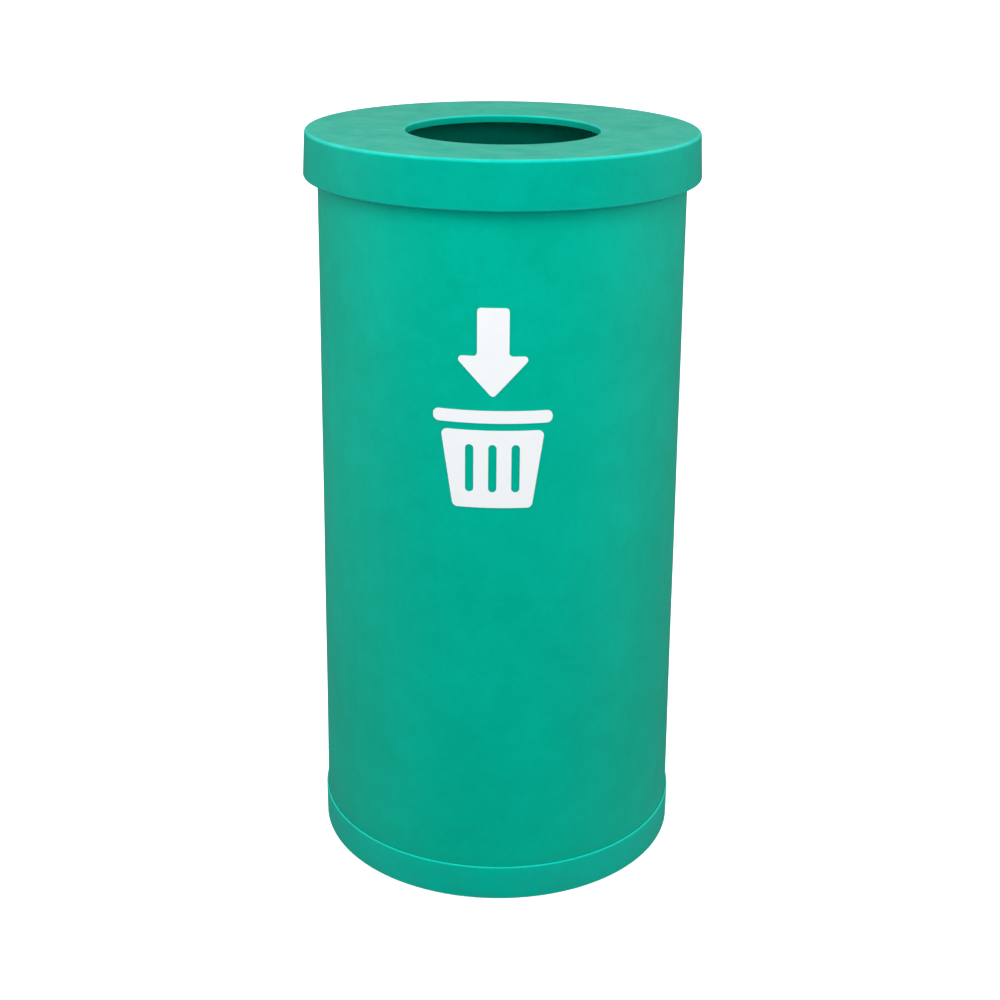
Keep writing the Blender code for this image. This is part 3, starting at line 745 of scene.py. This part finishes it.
def floor_paper(name):
    """Plain pale studio paper with a very faint grain, which glows enough to read as white."""
    s = Surface(
        name, Specular_IOR_Level=0.0, Roughness=1.0, Emission_Color=WHITE, Emission_Strength=FLOOR_GLOW
    )
    grain = s.spread(s.noise(40.0), 0.3, 0.7)
    return s.done(Base_Color=s.mix(grain, *PAPER_TONES))


def make_materials():
    return {
        "drum_plastic": moulded_plastic("drum_moulded", DRUM_TONES, DRUM_DUST_AND_TOP_LIGHT, 0.4),
        "lid_plastic": moulded_plastic("lid_moulded", LID_TONES_WITH_PAINTED_SHADE, LID_DUST_AND_TOP_LIGHT, 0.6),
        "base_plastic": moulded_plastic("base_moulded", BASE_TONES_WITH_PAINTED_LIGHT, BASE_DUST_AND_TOP_LIGHT, 0.3),
        "white_vinyl": vinyl_film("white_vinyl_film"),
        "galvanised_sheet": galvanised("galvanised_spangle"),
        "plated_steel": plated("zinc_plate", STEEL_TONES, (1.0, 1.0, 0.2)),
        "brass": plated("turned_brass", BRASS_TONES),
        "lock_metal": plated("lock_plate", LOCK_TONES, rough=(0.14, 0.28)),
    }


# Plastic mouldings


def make_drum(materials):
    inner_top = drum_radius(DRUM_TOP) - DRUM_WALL
    foot_inner = SPIGOT_INNER - FOOT_WIDTH
    foot_top = DRUM_FOOT + FOOT_THICKNESS
    corners = [
        (inner_top, DRUM_TOP, RIM_EDGE),
        (RIM_RADIUS, DRUM_TOP, RIM_EDGE),
        (RIM_RADIUS, RIM_BOTTOM, RIM_EDGE),
        (drum_radius(RIM_BOTTOM), RIM_BOTTOM, RIM_EDGE / 2),
        (DRUM_RADIUS_AT_BASE, SHOULDER, RIM_EDGE / 4),
        (SPIGOT_RADIUS, SHOULDER, 0.0),
        (SPIGOT_RADIUS, DRUM_FOOT, RIM_EDGE / 2),
        (foot_inner, DRUM_FOOT, RIM_EDGE),
        (foot_inner, foot_top, RIM_EDGE),
        (SPIGOT_INNER, foot_top, RIM_EDGE),
        (SPIGOT_INNER, SHOULDER - SPIGOT_STEP, 2 * RIM_EDGE),
        (DRUM_RADIUS_AT_BASE - DRUM_WALL, SHOULDER + SPIGOT_STEP, 2 * RIM_EDGE),
    ]
    drum = turned("drum_moulding", outline(corners), wave=SKIN_WAVE)
    depth = LID_RADIUS - NOTCH_BACK
    notch = block(
        "rim_notch",
        (0.0, NOTCH_BACK + depth / 2, DRUM_TOP - RIM_THICKNESS / 2),
        (NOTCH_WIDTH, depth, 2 * RIM_THICKNESS),
    )
    combine(drum, [notch])
    piece(drum, "bin_body", materials, "drum_plastic", "body_shell")


def base_ribs():
    """The ribs that cross in the middle of the base."""
    lift = BASE_FLOOR - GAP + RIB_HEIGHT / 2
    ribs = []
    for i in range(RIBS):
        rib = block(f"rib_{i}", (0.0, 0.0, lift), (RIB_LENGTH, RIB_WIDTH, RIB_HEIGHT))
        rib.rotation_euler[2] = radians(180 / RIBS * i)
        ribs.append(rib)
    return ribs


def screw_seats():
    """Cutters for the countersunk seats and their holes."""
    shank = SCREW_SHANK + GAP
    sink = SCREW_HEAD_DEPTH + 2 * GAP
    flare = 2 * (SCREW_HEAD + GAP) - SCREW_SHANK + GAP
    sunk = [(0.0, 2 * BASE_FLOOR), (shank, 2 * BASE_FLOOR), (shank, sink), (flare, -sink), (0.0, -sink)]
    seats = []
    for i, (x, y) in enumerate(on_circle(SCREWS, SCREW_CIRCLE, SCREW_START)):
        seat = turned(f"seat_{i}", plain(sunk), closed=False, around=SMALL)
        seat.location = (x, y, 0.0)
        seats.append(seat)
    return seats


def make_base(materials):
    corners = [
        (0.0, BASE_FLOOR, 0.0),
        (BASE_INNER, BASE_FLOOR, BASE_EDGE),
        (BASE_INNER, LEDGE, 0.0),
        (BASE_RECESS, LEDGE, 0.0),
        (BASE_RECESS, BASE_HEIGHT, 0.0),
        (BASE_RADIUS, BASE_HEIGHT, BASE_EDGE),
        (BASE_RADIUS, 0.0, BASE_FOOT_EDGE),
        (0.0, 0.0, 0.0),
    ]
    base = turned("base_moulding", outline(corners, closed=False))
    combine(base, base_ribs(), "UNION")
    anchor_places = on_circle(ANCHORS, ANCHOR_CIRCLE, ANCHOR_START)
    anchors = cylinders("anchors", anchor_places, ANCHOR_HOLE, -BASE_FLOOR, 2 * BASE_FLOOR)
    combine(base, [anchors, *screw_seats()])
    piece(base, "bin_body", materials, "base_plastic", "base_pan")


def make_lid(materials):
    lip_top = HEIGHT - DISH_DEPTH
    corners = [
        (APERTURE_RADIUS, lip_top, LIP_EDGE),
        (DISH_RADIUS, HEIGHT, 2 * LID_WALL),
        (LID_RADIUS_AT_TOP, HEIGHT, LID_EDGE),
        (LID_RADIUS, LID_BOTTOM, LID_HEM),
        (LID_RADIUS - LID_WALL, LID_BOTTOM, LID_HEM_INNER),
        (LID_RADIUS_AT_TOP - LID_WALL, UNDERSIDE, LID_INNER_CORNER),
        (DISH_RADIUS, UNDERSIDE, 0.0),
        (APERTURE_RADIUS, lip_top - LIP_DEPTH, LIP_HEM),
    ]
    lid = turned("lid_moulding", outline(corners, steps=LID_FILLET_STEPS))
    reach = LID_RADIUS + LID_WALL
    hole = cylinders("lock_hole", [AXIS], BARREL_RADIUS + GAP, BARREL_END - LID_WALL, reach)
    pocket = cylinders("lock_pocket", [AXIS], BARREL_HEAD_RADIUS + GAP, BARREL_HEAD_BACK - GAP, reach)
    combine(lid, [on_lock_axis(hole), on_lock_axis(pocket)])
    piece(lid, "lid", materials, "lid_plastic", "lid_shell")


# Liner


def bead(z, surface):
    """An outward swage in one surface of the wall, from its upper end to its lower end."""
    points = arc((surface + BEAD_DEPTH - BEAD_RADIUS, z), BEAD_RADIUS, BEAD_REACH, -BEAD_REACH, BEAD_STEPS)
    spread = BEAD_SPREAD * BEAD_RADIUS * sin(radians(BEAD_REACH))
    return [(surface, z + spread)] + points + [(surface, z - spread)]


def rivet_hole(x, y, z):
    """A cutter along X for one rivet's shank."""
    hole = cylinders("rivet_hole", [AXIS], RIVET_SHANK + GAP, -HANDLE_STANDOFF, HANDLE_STANDOFF)
    hole.rotation_euler = (0.0, radians(90), 0.0)
    hole.location = (x, y, z)
    return hole


def make_liner_wall(materials):
    end = 180.0 - ROLL_WRAP
    profile = arc(ROLL_CENTRE, ROLL_RADIUS, 180.0, end, ROLL_STEPS)
    profile += arc(ROLL_CENTRE, ROLL_RADIUS - SHEET, end, 180.0, ROLL_STEPS)
    for height in BEAD_HEIGHTS:
        profile += bead(height, LINER_RADIUS)
    profile += [(LINER_RADIUS, LINER_BOTTOM), (LINER_INNER, LINER_BOTTOM)]
    for height in reversed(BEAD_HEIGHTS):
        profile += reversed(bead(height, LINER_INNER))
    wall = turned("liner_sheet", plain(profile))
    combine(wall, [rivet_hole(side * LINER_RADIUS, 0.0, z) for side in (-1, 1) for z in RIVET_HEIGHTS])
    piece(wall, "liner", materials, "galvanised_sheet", "liner_wall")


def make_rim_wire(materials):
    ring = arc(ROLL_CENTRE, ROLL_RADIUS - SHEET - GAP, 360.0, 0.0, RIM_WIRE_SIDES)[:-1]
    wire = turned("rim_wire_ring", plain(ring))
    piece(wire, "liner", materials, "plated_steel", "liner_rim_wire")


def make_liner_floor(materials):
    edge = LINER_INNER - GAP
    corners = [
        (0.0, LINER_FLOOR_TOP, 0.0),
        (edge, LINER_FLOOR_TOP, FLOOR_BEND),
        (edge, LINER_BOTTOM + GAP, 0.0),
        (edge - SHEET, LINER_BOTTOM + GAP, 0.0),
        (edge - SHEET, LINER_FLOOR_TOP - SHEET, FLOOR_BEND - SHEET),
        (0.0, LINER_FLOOR_TOP - SHEET, 0.0),
    ]
    floor = turned("liner_floor_plate", outline(corners, closed=False))
    drain_places = on_circle(DRAINS, DRAIN_CIRCLE, DRAIN_START)
    drains = cylinders("drains", drain_places, DRAIN_HOLE, 0.0, 2 * LINER_FLOOR_TOP)
    combine(floor, [drains])
    piece(floor, "liner", materials, "galvanised_sheet", "liner_floor")


def make_handle(materials, side, word):
    across = HANDLE_HALF_WIDTH - HANDLE_CORNER
    corner = HANDLE_CORNER
    steps = HANDLE_CORNER_STEPS
    loop = arc((across, -corner), corner, 90, 0, steps)
    loop += arc((across, corner - HANDLE_DROP), corner, 0, -90, steps)
    loop += arc((-across, corner - HANDLE_DROP), corner, -90, -180, steps)
    loop += arc((-across, -corner), corner, 180, 90, steps)
    curve = bpy.data.curves.new("handle_loop", "CURVE")
    curve.dimensions = "3D"
    curve.bevel_depth = HANDLE_WIRE
    curve.bevel_resolution = HANDLE_ROUNDNESS
    spline = curve.splines.new("POLY")
    spline.points.add(len(loop) - 1)
    spline.use_cyclic_u = True
    for point, (y, z) in zip(spline.points, loop):
        point.co = (side * HANDLE_X, y, HANDLE_HEIGHT + z, 1.0)
    handle = curve_to_mesh(f"drop_handle_{word}", curve)
    piece(handle, f"{word}_handle", materials, "plated_steel", f"handle_{word}")


def make_saddle(materials, side, word):
    inner = HANDLE_WIRE + SADDLE_CLEARANCE
    outer = inner + SADDLE_SHEET
    half = SADDLE_HEIGHT / 2
    points = [(SADDLE_FRONT, -half), (SADDLE_FRONT, -outer)]
    points += arc((HANDLE_STANDOFF, 0.0), outer, -90, 90, SADDLE_STEPS)
    points += [(SADDLE_FRONT, outer), (SADDLE_FRONT, half), (SADDLE_BACK, half), (SADDLE_BACK, inner)]
    points += arc((HANDLE_STANDOFF, 0.0), inner, 90, -90, SADDLE_STEPS)
    points += [(SADDLE_BACK, -inner), (SADDLE_BACK, -half)]
    saddle = flat_piece(f"saddle_strap_{word}", [points], SADDLE_WIDTH)
    combine(saddle, [rivet_hole(0.0, y, 0.0) for y in (RIVET_OFFSET, -RIVET_OFFSET)])
    soften(saddle, SADDLE_SHEET / 5)
    saddle.rotation_euler = (radians(90), 0.0, radians(180) if side > 0 else 0.0)
    saddle.location = (side * LINER_INNER, 0.0, HANDLE_HEIGHT)
    piece(saddle, "liner", materials, "galvanised_sheet", f"handle_saddle_{word}")


def make_rivet(materials, number, side, z):
    head = -SADDLE_FRONT - GAP
    tail = SHEET + GAP
    corners = [
        (0.0, tail + RIVET_TAIL_DEPTH, 0.0),
        (RIVET_TAIL, tail + RIVET_TAIL_DEPTH, RIVET_TAIL_DEPTH / 3),
        (RIVET_TAIL, tail, 0.0),
        (RIVET_SHANK, tail, 0.0),
        (RIVET_SHANK, head, 0.0),
    ]
    points = outline(corners + [(RIVET_HEAD, head, 0.0)], closed=False)
    for i in range(1, RIVET_DOME_STEPS + 1):
        a = radians(90 * i / RIVET_DOME_STEPS)
        points.append((RIVET_HEAD * cos(a), head - RIVET_DOME * sin(a), RIVET_DOME_WEAR, 0.0))
    rivet = turned(f"rivet_{number}", points, closed=False, around=SMALL)
    rivet.rotation_euler = (0.0, radians(90 * side), 0.0)
    rivet.location = (side * LINER_INNER, 0.0, z)
    piece(rivet, "liner", materials, "plated_steel", f"saddle_rivet_{number}")


def make_handles(materials):
    number = 0
    for side, word in ((-1, "left"), (1, "right")):
        make_handle(materials, side, word)
        make_saddle(materials, side, word)
        for z in RIVET_HEIGHTS:
            number += 1
            make_rivet(materials, number, side, z)


# Screws and lock


def make_base_screws(materials):
    corners = [
        (0.0, SCREW_LENGTH, 0.0),
        (SCREW_SHANK, SCREW_LENGTH, SCREW_SHANK / 5),
        (SCREW_SHANK, SCREW_HEAD_DEPTH + GAP, 0.0),
        (SCREW_HEAD, GAP, SCREW_HEAD_DEPTH / 12),
        (0.0, GAP, 0.0),
    ]
    points = outline(corners, closed=False)
    for number, (x, y) in enumerate(on_circle(SCREWS, SCREW_CIRCLE, SCREW_START), start=1):
        screw = turned(f"countersunk_screw_{number}", points, closed=False, around=SMALL)
        socket = cylinders("socket", [AXIS], SCREW_SOCKET, -GAP, SCREW_SOCKET_DEPTH, SCREW_SOCKET_SIDES)
        combine(screw, [socket])
        screw.location = (x, y, 0.0)
        piece(screw, "bin_body", materials, "plated_steel", f"base_screw_{number}")


def make_barrel(materials):
    corners = [
        (BARREL_BORE, BARREL_HEAD_FRONT, GAP),
        (BARREL_HEAD_RADIUS, BARREL_HEAD_FRONT, 2 * GAP),
        (BARREL_HEAD_RADIUS, BARREL_HEAD_BACK, GAP / 2),
        (BARREL_RADIUS, BARREL_HEAD_BACK, 0.0),
        (BARREL_RADIUS, BARREL_END, GAP),
        (BARREL_BORE, BARREL_END, GAP),
    ]
    barrel = turned("cam_lock_barrel", outline(corners), around=LOCK_SIDES)
    piece(on_lock_axis(barrel), "lid", materials, "lock_metal", "lock_barrel")


def make_nut(materials):
    outlines = [on_circle(NUT_SIDES, NUT_RADIUS), on_circle(NUT_BORE_STEPS, BARREL_RADIUS + GAP)]
    nut = flat_piece("cam_lock_nut", outlines, NUT_FRONT - NUT_BACK)
    soften(nut, GAP)
    piece(across_lock_axis(nut, NUT_FRONT, NUT_BACK), "lid", materials, "lock_metal", "lock_nut")


def make_plug(materials):
    bore = CAM_SCREW_SHANK + GAP
    bore_end = CAM_BACK + CAM_SCREW_LENGTH + 2 * GAP
    corners = [
        (0.0, PLUG_FRONT, 0.0),
        (PLUG_RADIUS, PLUG_FRONT, GAP),
        (PLUG_RADIUS, CAM_FRONT + GAP, 0.0),
        (PLUG_SPIGOT, CAM_FRONT + GAP, 0.0),
        (PLUG_SPIGOT, CAM_BACK, 0.0),
        (bore, CAM_BACK, 0.0),
        (bore, bore_end, 0.0),
        (0.0, bore_end, 0.0),
    ]
    plug = turned("cam_lock_plug", outline(corners, closed=False), closed=False, around=LOCK_SIDES)
    key = cylinders("key_recess", [AXIS], KEY_RADIUS, PLUG_FRONT - KEY_DEPTH, LID_RADIUS, KEY_SIDES)
    combine(plug, [key])
    piece(on_lock_axis(plug), "lock_core", materials, "lock_metal", "lock_plug")


def make_cam(materials):
    tongue = arc(AXIS, CAM_PIVOT_RADIUS, 0, 180, CAM_PIVOT_STEPS)
    tongue += arc((0.0, -CAM_REACH), CAM_TIP_RADIUS, 180, 360, CAM_TIP_STEPS)
    hole = on_circle(CAM_HOLE_STEPS, PLUG_SPIGOT + GAP)
    cam = flat_piece("cam_tongue", [tongue, hole], CAM_FRONT - CAM_BACK)
    soften(cam, GAP)
    piece(across_lock_axis(cam, CAM_FRONT, CAM_BACK), "lock_core", materials, "lock_metal", "lock_cam")


def make_cam_screw(materials):
    head = CAM_BACK - GAP
    face = head - CAM_SCREW_HEAD_DEPTH
    corners = [
        (0.0, head + CAM_SCREW_LENGTH, 0.0),
        (CAM_SCREW_SHANK, head + CAM_SCREW_LENGTH, GAP),
        (CAM_SCREW_SHANK, head, 0.0),
        (CAM_SCREW_HEAD, head, 0.0),
        (CAM_SCREW_HEAD, face, 2 * GAP),
        (0.0, face, 0.0),
    ]
    screw = turned("cam_fixing_screw", outline(corners, closed=False), closed=False, around=SMALL)
    combine(screw, [block("driver_slot", (0.0, 0.0, face), (3 * CAM_SCREW_HEAD, 3 * GAP, 4 * GAP))])
    piece(on_lock_axis(screw), "lock_core", materials, "plated_steel", "cam_screw")


def make_lock(materials):
    make_barrel(materials)
    make_nut(materials)
    make_plug(materials)
    make_cam(materials)
    make_cam_screw(materials)


# Pictogram


def rounded(corners, radius):
    """A polygon with its corners rounded by arcs."""
    points = []
    for i, corner in enumerate(corners):
        stretch = fillet(corners[i - 1], corner, corners[(i + 1) % len(corners)], radius, GLYPH_CORNER_STEPS)
        points += [(x, y) for x, y, _ in stretch]
    return points


def trapezium(half_top, half_bottom, top, bottom, centre=0.0):
    return [
        (centre - half_top, top),
        (centre - half_bottom, bottom),
        (centre + half_bottom, bottom),
        (centre + half_top, top),
    ]


def vinyl(materials, name, node, outlines):
    """A thin film on the front of the drum, cut to the outlines, which are (x, z) about the pictogram."""
    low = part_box(node)[0].z - TINY - VINYL_OUTER
    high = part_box(node)[1].z + TINY + VINYL_OUTER
    sleeve = [
        (drum_radius(high) + VINYL_INNER, high),
        (drum_radius(high) + VINYL_OUTER, high),
        (drum_radius(low) + VINYL_OUTER, low),
        (drum_radius(low) + VINYL_INNER, low),
    ]
    film = turned(name, plain(sleeve), around=VINYL_STEPS, sweep=VINYL_SWEEP)
    stencil = flat_piece(name + "_stencil", outlines, LINER_RADIUS)
    stencil.rotation_euler = (radians(90), 0.0, 0.0)
    stencil.location = (PICTOGRAM_X, -LINER_RADIUS, 0.0)
    combine(film, [stencil], "INTERSECT")
    piece(film, "bin_body", materials, "white_vinyl", node)


def make_pictogram(materials):
    arrow = [
        (-ARROW_SHAFT_HALF, ARROW_TOP),
        (-ARROW_SHAFT_HALF, ARROW_SHOULDER),
        (-ARROW_HEAD_HALF, ARROW_SHOULDER),
        (0.0, ARROW_TIP),
        (ARROW_HEAD_HALF, ARROW_SHOULDER),
        (ARROW_SHAFT_HALF, ARROW_SHOULDER),
        (ARROW_SHAFT_HALF, ARROW_TOP),
    ]
    vinyl(materials, "vinyl_arrow", "pictogram_arrow", [rounded(arrow, ARROW_CORNER)])
    bar = trapezium(GLYPH_RIM_HALF, GLYPH_RIM_HALF, GLYPH_RIM_TOP, GLYPH_RIM_BOTTOM)
    vinyl(materials, "vinyl_bin_rim", "pictogram_bin_rim", [rounded(bar, GLYPH_CORNER)])
    body = trapezium(GLYPH_BIN_HALF_TOP, GLYPH_BIN_HALF_BOTTOM, GLYPH_BIN_TOP, GLYPH_BIN_BOTTOM)
    outlines = [rounded(body, GLYPH_CORNER)]
    for i in GLYPH_SLOTS:
        middle = i * GLYPH_SLOT_SPACING
        slot = trapezium(GLYPH_SLOT_HALF, GLYPH_SLOT_HALF, GLYPH_SLOT_TOP, GLYPH_SLOT_BOTTOM, middle)
        outlines.append(rounded(slot, GLYPH_SLOT_HALF - TINY))
    vinyl(materials, "vinyl_bin_body", "pictogram_bin_body", outlines)


def dress_hidden_nodes(materials):
    """The threaded inserts stay as modelled, with turned brass on them."""
    for name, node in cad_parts.items():
        if name.startswith("base_insert_"):
            node.data.materials.clear()
            node.data.materials.append(materials["brass"])


# Stage, light and camera


def make_stage():
    """A wide white floor. The camera sees it, but reflections and bounced light leave it out."""
    shape = bmesh.new()
    bmesh.ops.create_grid(shape, x_segments=1, y_segments=1, size=FLOOR_SIZE)
    floor = finish_mesh("studio_floor", shape)
    floor.location = (0.0, 0.0, -TINY)
    floor.data.materials.append(floor_paper("studio_paper"))
    floor.visible_diffuse = False
    floor.visible_glossy = False


def sky_gradient(tree, level, rise, front=0.0, sides=0.0):
    """Brightness that grows from nadir to zenith, from back to front, and from the middle to both sides."""
    direction = tree.nodes.new("ShaderNodeTexCoord").outputs["Generated"]
    parts = tree.nodes.new("ShaderNodeSeparateXYZ")
    tree.links.new(direction, parts.inputs["Vector"])
    size = tree.nodes.new("ShaderNodeMath")
    size.operation = "ABSOLUTE"
    tree.links.new(parts.outputs["X"], size.inputs[0])
    slopes = ((size.outputs["Value"], sides), (parts.outputs["Y"], -front), (parts.outputs["Z"], rise))
    total = level
    for output, amount in slopes:
        node = tree.nodes.new("ShaderNodeMath")
        node.operation = "MULTIPLY_ADD"
        tree.links.new(output, node.inputs[0])
        node.inputs[1].default_value = amount
        if isinstance(total, float):
            node.inputs[2].default_value = total
        else:
            tree.links.new(total, node.inputs[2])
        total = node.outputs["Value"]
    lowest = tree.nodes.new("ShaderNodeMath")
    lowest.operation = "MAXIMUM"
    tree.links.new(total, lowest.inputs[0])
    lowest.inputs[1].default_value = DARKEST
    return lowest.outputs["Value"]


def make_sky():
    """A soft white tent. Reflections see it dark low down at the back, and the camera sees it white."""
    world = bpy.data.worlds.new("studio")
    world.use_nodes = True
    tree = world.node_tree
    background = tree.nodes["Background"]
    path = tree.nodes.new("ShaderNodeLightPath")
    light = sky_gradient(tree, SKY_LEVEL, SKY_RISE, sides=SKY_SIDES)
    mirror = sky_gradient(tree, MIRROR_LEVEL, MIRROR_RISE, front=MIRROR_FRONT)
    value = light
    for ray, other in (("Is Glossy Ray", mirror), ("Is Camera Ray", 1.0)):
        mix = tree.nodes.new("ShaderNodeMix")
        tree.links.new(path.outputs[ray], mix.inputs["Factor"])
        tree.links.new(value, mix.inputs["A"])
        if isinstance(other, float):
            mix.inputs["B"].default_value = other
        else:
            tree.links.new(other, mix.inputs["B"])
        value = mix.outputs["Result"]
    tree.links.new(value, background.inputs["Strength"])
    background.inputs["Color"].default_value = WHITE
    world.cycles.sampling_method = "NONE"
    bpy.context.scene.world = world


def softbox(name, place, aim, size, power, mirrored=True):
    """A square lamp. It shows in reflections unless mirrored is off."""
    data = bpy.data.lights.new(name, "AREA")
    data.shape = "SQUARE"
    data.size = size
    data.energy = power
    lamp = new_object(name, data)
    lamp.location = place
    direction = Vector(aim) - Vector(place)
    lamp.rotation_euler = direction.to_track_quat("-Z", "Y").to_euler()
    lamp.visible_camera = False
    lamp.visible_glossy = mirrored


def make_light():
    make_sky()
    softbox("key", KEY_PLACE, KEY_AIM, KEY_SIZE, KEY_POWER)
    softbox("fill", FILL_PLACE, FILL_AIM, FILL_SIZE, FILL_POWER)
    x, y, z = SIDE_PLACE
    softbox("left_flank", (-x, y, z), SIDE_AIM, SIDE_SIZE, SIDE_POWER, mirrored=False)
    softbox("right_flank", (x, y, z), SIDE_AIM, SIDE_SIZE, SIDE_POWER, mirrored=False)


def make_camera():
    data = bpy.data.cameras.new("camera")
    data.sensor_width = CAMERA_SENSOR
    data.lens = CAMERA_LENS
    camera = new_object("camera", data)
    tilt = Matrix.Rotation(radians(90 - CAMERA_PITCH), 4, "X")
    roll = Matrix.Rotation(radians(CAMERA_ROLL), 4, "Z")
    place = Matrix.Translation((CAMERA_SIDE, -CAMERA_DISTANCE, CAMERA_HEIGHT))
    camera.matrix_world = place @ tilt @ roll
    bpy.context.scene.camera = camera
    bpy.context.scene.view_settings.view_transform = "Standard"


def main():
    materials = make_materials()
    make_drum(materials)
    make_base(materials)
    make_lid(materials)
    make_liner_wall(materials)
    make_rim_wire(materials)
    make_liner_floor(materials)
    make_handles(materials)
    make_base_screws(materials)
    make_lock(materials)
    make_pictogram(materials)
    dress_hidden_nodes(materials)
    make_stage()
    make_light()
    make_camera()


main()
